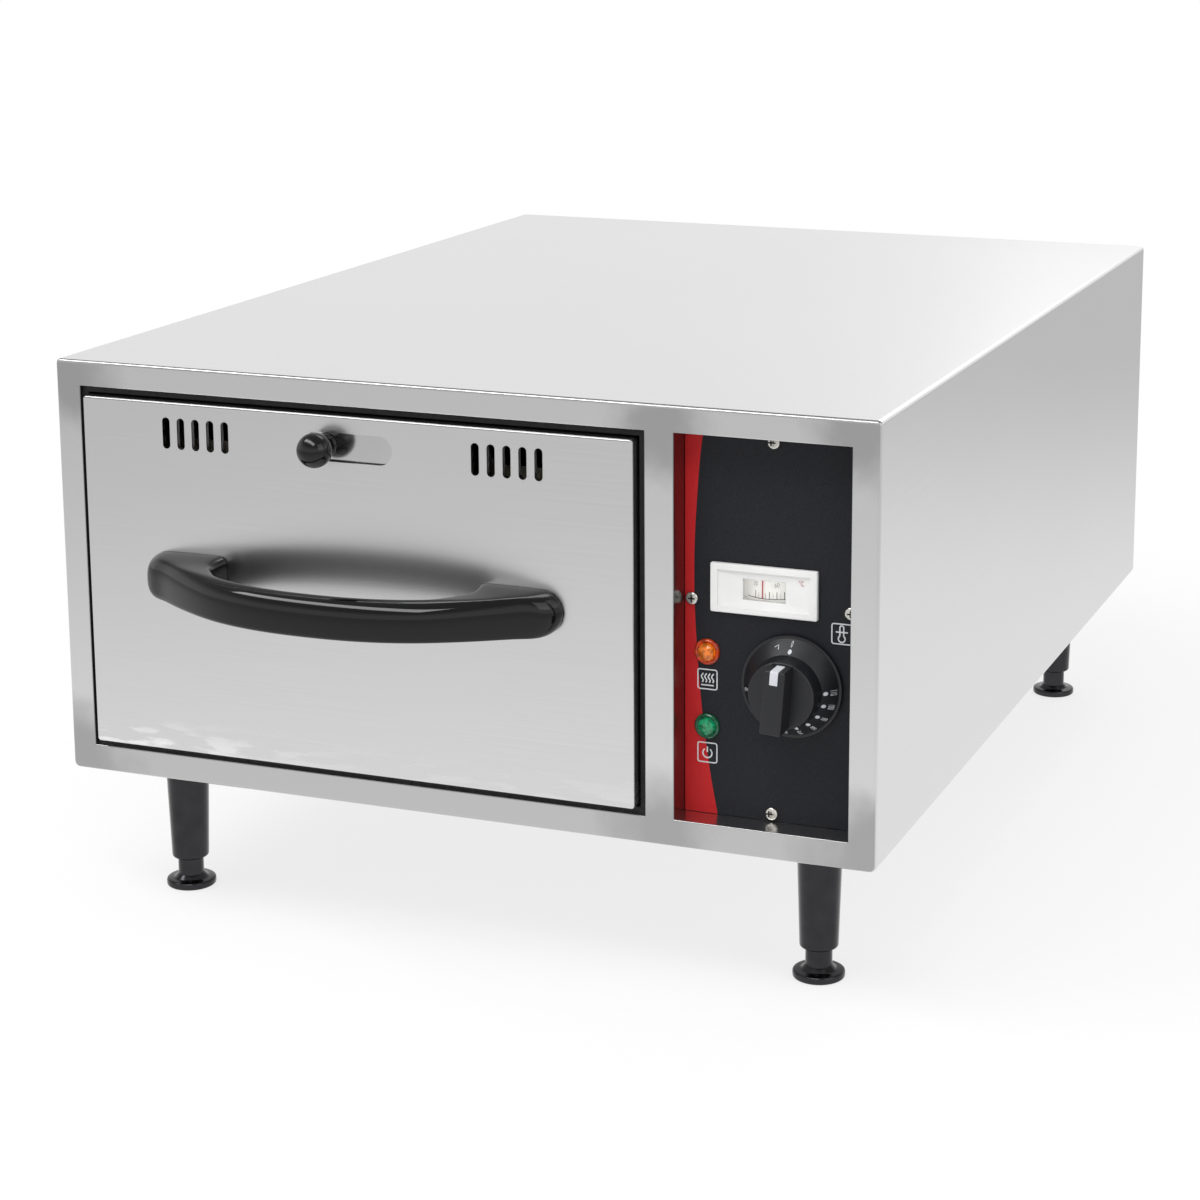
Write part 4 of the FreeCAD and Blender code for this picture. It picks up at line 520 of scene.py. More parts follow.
# ---------------------------------------------------------------- sheet metal
class WARMER_OT_sheet_metal(bpy.types.Operator):
    """Finishes the case, the face frame and the drawer front"""
    bl_idname = "warmer.sheet_metal"
    bl_label = "Sheet metal"

    def execute(self, context):
        settings = context.scene.drawer_sheet
        paint_node(["case_wrap", "front_frame"], self.case_finish(settings))
        # brushed across the machine, slightly greyer than the case, as an unseen face is left
        paint_node(["rear_panel"], brushed_stainless(
            "brushed stainless back", scaled(settings.case, 0.92), settings.streak, grain=(1, 0, 0)))
        paint_node(["drawer_front"], self.drawer_finish(settings))
        return {"FINISHED"}

    def case_finish(self, settings):
        """304 stainless case. The top and sides keep the mill's smooth finish; the frame's face is
        ground by hand after welding, which leaves dull grey patches where stiles and rails meet."""
        material, tree, place = new_material("stainless case, ground face")
        normal = add(tree, "TexCoord").outputs["Normal"]
        sideways, facing, upward = add(tree, "SeparateXYZ", {0: normal}).outputs
        face = add(tree, "MapRange", {0: facing, 1: -0.55, 2: -0.85})
        low, high = box_of("front_frame")
        seal_low, seal_high = box_of("bay_seal")
        panel_low, panel_high = box_of("panel_overlay")
        ragged = add(tree, "TexNoise", {"Vector": place, "Scale": 26.0, "Detail": 3.0})
        reach = add(tree, "MapRange", {0: ragged, 1: 0.3, 2: 0.7, 3: -0.012, 4: 0.012})
        corners = None
        for stile in ((low.x + seal_low.x) / 2, (seal_high.x + panel_low.x) / 2, (panel_high.x + high.x) / 2):
            for rail in ((low.z + seal_low.z) / 2, (seal_high.z + high.z) / 2):
                offset = add(tree, "VectorMath", {0: place, 1: (stile, low.y, rail)},
                             operation="DISTANCE").outputs["Value"]
                edge = add(tree, "Math", {0: offset, 1: reach}, operation="ADD")
                patch = add(tree, "MapRange", {0: edge, 1: settings.patch * 0.2, 2: settings.patch * 1.1,
                                                         3: 1.0, 4: 0.0}, interpolation_type="SMOOTHSTEP")
                corners = patch if corners is None else add(tree, "Math", {0: corners, 1: patch},
                                                            operation="MAXIMUM")
        on_face = add(tree, "Math", {0: corners, 1: face}, operation="MULTIPLY")
        along = (1 / settings.streak, 5.0, 1 / settings.streak)
        stretched = add(tree, "Mapping", {"Vector": place, "Scale": along})
        lines = add(tree, "TexNoise", {"Vector": stretched, "Scale": 1.0, "Detail": 2.0})
        haze = add(tree, "TexNoise", {"Vector": place, "Scale": 4.0, "Detail": 4.0})
        shade = add(tree, "Math", {0: lines, 1: haze}, operation="ADD")
        case, front = settings.case, settings.front
        sheet = between(tree, shade, scaled(case, 0.97), case, 0.7, 1.3)
        x, _, z = add(tree, "SeparateXYZ", {0: place}).outputs
        # the face frame is painted darker below the bay's lower edge, fading out over the 40 mm above it
        below = add(tree, "MapRange", {0: z, 1: seal_low.z, 2: seal_low.z + 40 * MM, 3: 1.0, 4: 0.0})
        plain = add(tree, "Mix", {0: below, 6: front, 7: scaled(front, 0.78)}, data_type="RGBA")
        ground = add(tree, "Mix", {0: on_face, 6: plain, 7: scaled(front, 0.6)}, data_type="RGBA")
        finished = add(tree, "Mix", {0: face, 6: sheet, 7: ground}, data_type="RGBA")
        # the narrow returns inside the two openings are painted dark: painted shade standing for the shadow and
        # dark reflections there
        turned = add(tree, "Math", {0: sideways}, operation="ABSOLUTE")
        off = add(tree, "Math", {0: x}, operation="ABSOLUTE")
        inside = add(tree, "Math", {0: off, 1: high.x - 8 * MM}, operation="LESS_THAN")
        painted_shade_return = add(tree, "Math", {0: turned, 1: inside}, operation="MULTIPLY")
        plain_or_shaded_return = add(tree, "Mix", {0: painted_shade_return, 6: finished, 7: scaled(front, 0.32)},
                              data_type="RGBA")
        # and the folds between the front and the top are painted darker: painted shade that damps the lamps'
        # highlight along them
        product = add(tree, "Math", {0: facing, 1: upward}, operation="MULTIPLY")
        shaded_fold = add(tree, "MapRange", {0: product, 1: -0.02, 2: -0.2})
        base = add(tree, "Mix", {0: shaded_fold, 6: plain_or_shaded_return, 7: scaled(case, 0.56)}, data_type="RGBA")
        gloss = add(tree, "MapRange", {0: on_face, 3: 0.26, 4: 0.38})
        return with_surface(material, tree, {
            "Base Color": base, "Metallic": 1.0, "Roughness": gloss}, (haze, 0.02, 0.0005))

    def drawer_finish(self, settings):
        """Fine-brushed 304 stainless. The horizontal grain is barely seen; pale rub marks lie along
        the lower edge, where the drawer is set down."""
        material, tree, place = new_material("fine-brushed stainless drawer front")
        low = box_of("drawer_front")[0]
        x, _, z = add(tree, "SeparateXYZ", {0: place}).outputs
        stretched = add(tree, "Mapping", {"Vector": place, "Scale": (5.0, 5.0, 1 / settings.streak)})
        lines = add(tree, "TexNoise", {"Vector": stretched, "Scale": 1.0, "Detail": 2.0})
        smears = add(tree, "Mapping", {"Vector": place, "Scale": (30.0, 30.0, 180.0)})
        rubs = add(tree, "TexNoise", {"Vector": smears, "Scale": 1.0, "Detail": 4.0})
        marks = add(tree, "MapRange", {0: rubs, 1: 0.5, 2: 0.6})
        low_band = add(tree, "MapRange", {0: z, 1: low.z + 6 * MM, 2: low.z + 24 * MM, 3: 1.0, 4: 0.0})
        left_band = add(tree, "MapRange", {0: x, 1: low.x + 60 * MM, 2: low.x + 190 * MM, 3: 1.0, 4: 0.25})
        near_edge = add(tree, "Math", {0: low_band, 1: left_band}, operation="MULTIPLY")
        rubbed = add(tree, "Math", {0: marks, 1: near_edge}, operation="MULTIPLY")
        colour = settings.drawer
        sheet = between(tree, lines, scaled(colour, 0.975), colour)
        marked = add(tree, "Mix", {0: rubbed, 6: sheet, 7: linear("#FAFAFA")}, data_type="RGBA")
        # the upward-facing folds are painted darker: painted shade that damps the lamps' highlight along them
        upward = add(tree, "SeparateXYZ", {0: add(tree, "TexCoord").outputs["Normal"]}).outputs[2]
        shaded_fold = add(tree, "MapRange", {0: upward, 1: 0.05, 2: 0.25})
        base = add(tree, "Mix", {0: shaded_fold, 6: marked, 7: scaled(colour, 0.5)}, data_type="RGBA")
        gloss = add(tree, "MapRange", {0: rubbed, 3: 0.25, 4: 0.6})
        return with_surface(material, tree, {
            "Base Color": base, "Metallic": 1.0, "Roughness": gloss}, (lines, 0.01, 0.0001))


class WARMER_OT_inner_finishes(bpy.types.Operator):
    """Finishes the bay, the runners, the pan and everything behind the panels"""
    bl_idname = "warmer.inner_finishes"
    bl_label = "Inside"

    def execute(self, context):
        # 2B is the mill's own dull skin: soft, even reflections and hardly any streak
        liner = brushed_stainless("2B stainless liner", linear("#CFD0D1"), 1.5 * MM, grain=(0, 1, 0),
                                  roughness=0.32)
        paint_node(["bay_liner", "drawer_back_skin", "divider_wall", "bottom_plate", "pan_carrier"], liner)
        # deep drawing polishes the pan, so it is the brightest metal inside
        paint_node(["food_pan"], satin_metal("deep-drawn stainless pan", linear("#DCDDDD"), 0.2, 0.04, 0.05))
        # zinc plate is bluish and cloudy
        zinc = satin_metal("zinc-plated runner steel", linear("#C6C9CC"), 0.34, 0.12, 0.012)
        paint_node(["outer_runner_left", "outer_runner_right", "middle_runner_pair",
                    "inner_runner_left", "inner_runner_right", "outer_ball_cages", "inner_ball_cages",
                    "damper_guides", "element_supports", "feeler_clips"], zinc)
        # nickel is warm and nearly a mirror
        bright = satin_metal("bright nickel screws", linear("#DCD9D2"), 0.16, 0.08, 0.004)
        paint_node(["rear_screws", "panel_screws", "handle_screws", "damper_stud", "leg_nuts",
                    "thermostat_shaft"], bright)
        # the damper slides behind the vents and shows their edges in it
        paint_node(["damper_plate"],
                   satin_metal("polished stainless damper", linear("#DADADA"), 0.14, 0.03, 0.03))
        # drawn copper tube darkens in patches
        paint_node(["thermostat_feeler", "thermometer_feeler"],
                   satin_metal("drawn copper capillary", linear("#C07850"), 0.3, 0.15, 0.01))
        # hot tinning leaves a dull grey coat
        paint_node(["thermostat_body"],
                   satin_metal("tinned thermostat can", linear("#B8B8B2"), 0.38, 0.1, 0.01))
        # baked powder has a fine orange-peel texture
        paint_node(["control_panel"], moulded_plastic("powder-coated backing sheet", linear("#26272A"), 0.5))
        paint_node(["heating_element"], self.element())
        paint_node(["insulation", "drawer_insulation"], self.wool())
        # steatite is a matt cream ceramic
        paint_node(["element_bushes", "terminal_block"],
                   moulded_plastic("unglazed steatite", linear("#E8E2D2"), 0.6, 0.0008, 0.3))
        paint_node(["bay_seal"], self.seal())
        # polyamide has a soft low gloss
        paint_node(["cable_gland", "gland_nut", "lamp_bodies"],
                   moulded_plastic("black polyamide", linear("#151516"), 0.42, 0.0006, 0.2))
        return {"FINISHED"}

    def element(self):
        """Stainless-sheathed heating element, blued and browned by heat along its length."""
        material, tree, place = new_material("heat-stained element sheath")
        bands = add(tree, "TexNoise", {"Vector": place, "Scale": 9.0, "Detail": 2.0})
        spots = add(tree, "TexNoise", {"Vector": place, "Scale": 220.0, "Detail": 4.0})
        heat = add(tree, "MapRange", {0: bands, 1: 0.35, 2: 0.65})
        stain = add(tree, "Mix", {0: heat, 6: linear("#5A4B3C"), 7: linear("#4A4E5C")}, data_type="RGBA")
        scale = add(tree, "MapRange", {0: spots, 1: 0.4, 2: 0.75, 4: 0.5})
        base = add(tree, "Mix", {0: scale, 6: stain, 7: linear("#2C2A28")}, data_type="RGBA")
        gloss = add(tree, "MapRange", {0: spots, 1: 0.3, 2: 0.7, 3: 0.35, 4: 0.6})
        return with_surface(material, tree, {"Base Color": base, "Metallic": 0.8, "Roughness": gloss})

    def wool(self):
        """Pressed mineral wool: yellow-brown fibres lying in layers."""
        material, tree, place = new_material("pressed mineral wool")
        flattened = add(tree, "Mapping", {"Vector": place, "Scale": (900, 900, 260)})
        fibres = add(tree, "TexNoise", {"Vector": flattened, "Scale": 1.0, "Detail": 6.0, "Roughness": 0.7})
        stacked = add(tree, "Mapping", {"Vector": place, "Scale": (40, 40, 300)})
        layers = add(tree, "TexNoise", {"Vector": stacked, "Scale": 1.0, "Detail": 4.0})
        tangle = between(tree, fibres, linear("#A08A54"), linear("#DCCB98"), 0.35, 0.65)
        depth = add(tree, "MapRange", {0: layers, 1: 0.4, 2: 0.7, 4: 0.4})
        base = add(tree, "Mix", {0: depth, 6: tangle, 7: linear("#C9B684")}, data_type="RGBA")
        return with_surface(material, tree, {"Base Color": base, "Roughness": 0.95}, (fibres, 0.8, 0.002))

    def seal(self):
        """Extruded silicone strip, ribbed along its length every 4 mm and dull black."""
        material, tree, place = new_material("ribbed black silicone")
        y = add(tree, "SeparateXYZ", {0: place}).outputs[1]
        phase = add(tree, "Math", {0: y, 1: math.tau / (4 * MM)}, operation="MULTIPLY")
        ribs_and_rib_shade = add(tree, "Math", {0: phase}, operation="SINE")
        dust = add(tree, "TexNoise", {"Vector": place, "Scale": 400.0, "Detail": 3.0})
        # the rib crests are painted lighter than the hollows: painted shade and highlight on the ribs
        base = between(tree, ribs_and_rib_shade, linear("#060606"), linear("#1B1B1C"), 0.2, 1.0)
        gloss = add(tree, "MapRange", {0: dust, 1: 0.3, 2: 0.7, 3: 0.5, 4: 0.7})
        return with_surface(material, tree, {"Base Color": base, "Roughness": gloss}, (ribs_and_rib_shade, 0.8, 0.001))


# ---------------------------------------------------------------- handle
class WARMER_OT_handle(bpy.types.Operator):
    """Moulds the bow handle: a band on a long curve, swept back at its ends into oval feet"""
    bl_idname = "warmer.handle"
    bl_label = "Handle"

    def execute(self, context):
        s = context.scene.drawer_handle
        bm = bmesh.new()
        foot_edges = loft(bm, [self.outline(*section) for section in self.sections(s)])
        bmesh.ops.contextual_create(bm, geom=foot_edges)
        bmesh.ops.mirror(bm, geom=bm.verts[:] + bm.edges[:] + bm.faces[:], axis="X", merge_dist=1e-5)
        origin = Vector((middle_of("handle").x, box_of("drawer_front")[0].y, middle_of("handle").z))
        bmesh.ops.translate(bm, verts=bm.verts, vec=origin)
        # compression-moulded phenolic comes out of a polished tool with a deep, even gloss
        material = moulded_plastic("black phenolic moulding", s.colour, roughness=0.08, grain=0.0006,
                                   strength=0.01, specular=0.4)
        finish_piece(bm, "bow_handle", "drawer", material, smooth=80, replaces="handle",
                     subdivide=2)
        return {"FINISHED"}

    def sections(self, s):
        """(inner edge, outer edge, height, back, front and low roundings) from the middle to the right foot."""
        edges = (s.back_edge, s.front_edge, s.low_edge)
        half, band, foot = s.half_span, s.band_height, s.half_span - s.foot_length
        spread = s.foot_height - band

        def bow(across):
            return s.reach * (1 - (across / half) ** s.bow)

        def crossing(across):
            slope = -s.reach * s.bow / half * (across / half) ** (s.bow - 1)
            length = math.hypot(1, slope)
            return ((across + slope / length * s.band_thickness, bow(across) - s.band_thickness / length),
                    (across, bow(across)))
        rows = [((0, s.reach - s.band_thickness), (0, s.reach), band, *edges)]
        for share in (0.14, 0.28, 0.42, 0.56):
            rows.append(crossing(half * share) + (band, *edges))
        out = half - 39 * MM
        rows.append(((foot - 10 * MM, 35 * MM), (out, bow(out)), band, *edges))
        out = half - 22 * MM
        rows.append(((foot - 3 * MM, 27 * MM), (out, bow(out) + MM), band + spread * 0.14,
                     5 * MM, 12 * MM, 4 * MM))
        for inner, depth, tip, front, share, round_, low in (
                (1, 19, -11, 18.5, 0.36, 13, 6), (2, 12, -4.5, 12, 0.66, 14, 9), (1, 5, -0.8, 5, 0.93, 15, 13),
                (0, 0.8, 0, 0.8, 1.0, 15.4, 15.4), (0, 0, 0, 0, 1.0, 15.4, 15.4)):
            rows.append(((foot + inner * MM, depth * MM), (half + tip * MM, front * MM), band + spread * share,
                         6 * MM, round_ * MM, low * MM))
        return rows

    def outline(self, inner, outer, height, back, front, low):
        """Upright rounded section between its inner and outer edge, about the handle's middle."""
        across = Vector((outer[0] - inner[0], inner[1] - outer[1], 0))
        outline = rounded_outline(across.length, height, (front, back, back, low))
        across.normalize()
        return [Vector((inner[0], -inner[1], v)) + across * u for u, v in outline]


# ---------------------------------------------------------------- damper knob
class WARMER_OT_damper_knob(bpy.types.Operator):
    """Turns the damper's ball knob"""
    bl_idname = "warmer.damper_knob"
    bl_label = "Damper knob"

    def execute(self, context):
        s = context.scene.drawer_damper
        low, high = box_of("damper_knob")
        centre = middle_of("damper_knob")
        centre.y = low.y + s.ball
        back = high.y - centre.y
        meet = math.degrees(math.asin(s.neck / s.ball))
        profile = [(max(r, 0.0), h) for r, h in arc_points(s.ball, 0, 0, -90, 90 - meet, 26)]
        collar = s.neck + 2.5 * MM
        profile += [(s.neck, s.ball * 0.95), (s.neck, back - 2.6 * MM), (s.neck + 0.6 * MM, back - 2 * MM),
                    (collar - 0.4 * MM, back - 2 * MM), (collar, back - 1.6 * MM), (collar, back),
                    (2.5 * MM, back)]
        # a tumbled and polished ball mirrors the lamps as small sharp spots
        material = moulded_plastic("black phenolic ball", s.colour, roughness=0.12, grain=0.0006,
                                   strength=0.02, specular=0.4)
        finish_piece(lathe(profile, centre, "Y", 56), "ball_knob", "damper", material, smooth=50,
                     replaces="damper_knob")
        return {"FINISHED"}


# ---------------------------------------------------------------- legs and feet
class WARMER_OT_legs(bpy.types.Operator):
    """Turns the four legs and their levelling feet"""
    bl_idname = "warmer.legs"
    bl_label = "Legs and feet"

    def execute(self, context):
        s = context.scene.drawer_legs
        tube = self.black_nickel("black nickel tube", s.colour, 0.12)
        foot = self.black_nickel("black nickel foot", s.colour, 0.18)
        for key, body in (("fl", "foot_front_left"), ("fr", "foot_front_right"),
                          ("rl", "foot_rear_left"), ("rr", "foot_rear_right")):
            self.leg(key, tube, s)
            self.foot(key, body, foot, s)
        return {"FINISHED"}

    def black_nickel(self, name, colour, roughness):
        """Black nickel plate: a dark mirror that keeps a trace of the turning under it."""
        material, tree, place = new_material(name)
        turned = add(tree, "Mapping", {"Vector": place, "Scale": (25, 25, 2200)})
        rings = add(tree, "TexNoise", {"Vector": turned, "Scale": 1.0, "Detail": 1.0})
        clouds = add(tree, "TexNoise", {"Vector": place, "Scale": 90.0, "Detail": 4.0})
        base = between(tree, clouds, scaled(colour, 0.8), colour)
        gloss = add(tree, "MapRange", {0: clouds, 1: 0.3, 2: 0.7, 3: roughness - 0.04, 4: roughness + 0.05})
        return with_surface(material, tree, {
            "Base Color": base, "Metallic": 1.0, "Roughness": gloss}, (rings, 0.04, 0.0002))

    def leg(self, key, material, s):
        low, high = box_of("leg_" + key)
        centre = middle_of("leg_" + key)
        centre.z = 0
        bottom, top = low.z, box_of("case_wrap")[0].z + 1.2 * MM
        wide, bore = (high.x - low.x) / 2, s.post + 0.35 * MM
        profile = [(bore, bottom + 8 * MM), (bore, bottom + 1 * MM), (bore + 1 * MM, bottom)]
        profile += arc_points(2.2 * MM, s.end - 2.2 * MM, bottom + 2.2 * MM, -80, 0, 5)
        profile += [(wide - 0.3 * MM, top - 6 * MM), (wide, top - 4 * MM), (wide, top), (5 * MM, top)]
        finish_piece(lathe(profile, centre, "Z", 64), "tube_leg_" + key, "case", material, smooth=35,
                     replaces="leg_" + key)

    def foot(self, key, body, material, s):
        low, high = box_of("foot_" + key)
        centre = middle_of("foot_" + key)
        centre.z = low.z
        radius, post, thick = (high.x - low.x) / 2, s.post, s.flange
        profile = [(0, 0), (radius - 2 * MM, 0)]
        profile += arc_points(1.6 * MM, radius - 1.6 * MM, 1.6 * MM, -80, 0, 5)
        profile += arc_points(1.6 * MM, radius - 1.6 * MM, thick - 1.8 * MM, 0, 80, 5)
        profile += [(radius - 4 * MM, thick - 0.1 * MM), (post + 3.4 * MM, thick),
                    (post + 2.4 * MM, thick + 0.6 * MM), (post + 0.6 * MM, thick + s.collar - 0.4 * MM),
                    (post, thick + s.collar), (post, high.z), (0, high.z)]
        finish_piece(lathe(profile, centre, "Z", 64), "levelling_foot_" + key, body, material, smooth=35,
                     replaces="foot_" + key)


# ---------------------------------------------------------------- printed panel
class WARMER_OT_panel_print(bpy.types.Operator):
    """Prints the control panel: charcoal field, red stripe and plain symbols"""
    bl_idname = "warmer.panel_print"
    bl_label = "Panel print"

    def execute(self, context):
        s = context.scene.drawer_print
        paint_node(["panel_overlay"], self.film(s))
        ink = printed_ink_or_shade("pale grey panel ink", s.ink)
        low, high = box_of("panel_overlay")
        amber, green, knob = middle_of("amber_lamp"), middle_of("green_lamp"), middle_of("knob_skirt")
        front = low.y - 0.06 * MM
        self.symbol("heat_symbol", Vector((amber.x, front, amber.z - 19 * MM)), self.heat(s.symbol), s, ink)
        self.symbol("power_symbol", Vector((green.x, front, green.z - 18.4 * MM)), self.power(s.symbol), s, ink)
        self.symbol("thermometer_symbol", Vector((high.x - 11.6 * MM, front, knob.z + 38 * MM)),
                    self.thermometer(s.symbol), s, ink)
        self.recess_shade()
        return {"FINISHED"}

    def recess_shade(self):
        """Dark crosses standing just proud of the four panel screws' heads: painted shade in their cross
        recesses.
        """
        low, high = box_of("panel_screws")
        across = (low.x + high.x) / 2
        side, head = (low.z + high.z) / 2 + 16.5 * MM, 4.4 * MM
        length, width = 2.1 * MM, 0.55 * MM     # halves of one arm of the cross
        bm = bmesh.new()
        for x, z in ((low.x + head, side), (high.x - head, side), (across, low.z + head),
                     (across, high.z - head)):
            for u, v in ((length, width), (width, length)):
                block(bm, (x - u, low.y - 0.05 * MM, z - v), (x + u, low.y + 1.2 * MM, z + v))
        shade = printed_ink_or_shade("shaded screw recess", linear("#0C0C0D"))
        finish_piece(bm, "screw_recess_shade", "case", shade, smooth=0)

    def film(self, s):
        """Matt polyester film printed from behind, so both colours share one even satin skin."""
        material, tree, place = new_material("printed polyester film")
        x, _, z = add(tree, "SeparateXYZ", {0: place}).outputs
        low, high = box_of("panel_overlay")
        rise = add(tree, "MapRange", {0: z, 1: low.z, 2: high.z})
        curve = add(tree, "FloatCurve", {1: rise})
        line = curve.mapping.curves[0]
        spots = [(level, width / STRIPE_WIDEST) for level, width in STRIPE_WIDTHS]
        line.points[0].location, line.points[1].location = spots[0], spots[-1]
        for spot in spots[1:-1]:
            line.points.new(*spot)
        curve.mapping.update()
        edge = add(tree, "MapRange", {0: curve, 3: low.x, 4: low.x + STRIPE_WIDEST * MM})
        beyond = add(tree, "Math", {0: x, 1: edge}, operation="GREATER_THAN")
        fleck = add(tree, "TexNoise", {"Vector": place, "Scale": 1800.0, "Detail": 1.0})
        colour = add(tree, "Mix", {0: beyond, 6: s.stripe, 7: s.field}, data_type="RGBA")
        veil = add(tree, "MapRange", {0: fleck, 1: 0.35, 2: 0.65, 4: 0.02})
        skin = add(tree, "Mix", {0: veil, 6: colour, 7: (0.5, 0.5, 0.52)}, data_type="RGBA")
        return with_surface(material, tree, {
            "Base Color": skin, "Roughness": 0.45, "Specular IOR Level": 0.14}, (fleck, 0.08, 0.00005))

    def symbol(self, name, centre, strokes, s, ink):
        frame_line = [(u - s.symbol / 2, v) for u, v in rounded_outline(s.symbol, s.symbol, (1.4 * MM,) * 4)]
        bm = bmesh.new()
        place = Matrix.Translation(centre) @ FACING_FRONT
        print_lines(bm, [frame_line], s.line, place, cyclic=True)
        print_lines(bm, strokes, s.line * 1.1, place)
        finish_piece(bm, name, "case", ink, smooth=60)

    def heat(self, size):
        """Four rising wavy lines over a hot plate."""
        strokes = [[(-0.33 * size, -0.3 * size), (0.33 * size, -0.3 * size)]]
        for column in (-0.27, -0.09, 0.09, 0.27):
            wave = []
            for step in range(13):
                height = -0.16 + 0.46 * step / 12
                wave.append(((column + 0.05 * math.sin(step / 12 * math.tau * 1.2)) * size, height * size))
            strokes.append(wave)
        return strokes

    def power(self, size):
        """Open ring with an upright bar."""
        arc = [(0.24 * size * math.cos(angle), (0.24 * math.sin(angle) - 0.03) * size)
               for angle in (math.radians(125 + 290 * step / 24) for step in range(25))]
        return [arc, [(0, 0.02 * size), (0, 0.3 * size)]]

    def thermometer(self, size):
        """Bulb, stem and a cross line."""
        bulb = [(0.17 * size * math.cos(angle), (0.17 * math.sin(angle) - 0.24) * size)
                for angle in (math.radians(125 + 290 * step / 20) for step in range(21))]
        stem, neck = 0.0975 * size, (-0.24 + 0.139) * size
        tube = [(-stem, neck), (-stem, 0.34 * size), (-0.05 * size, 0.41 * size), (0.05 * size, 0.41 * size),
                (stem, 0.34 * size), (stem, neck)]
        return [bulb, tube, [(-0.3 * size, 0.09 * size), (0.3 * size, 0.09 * size)]]


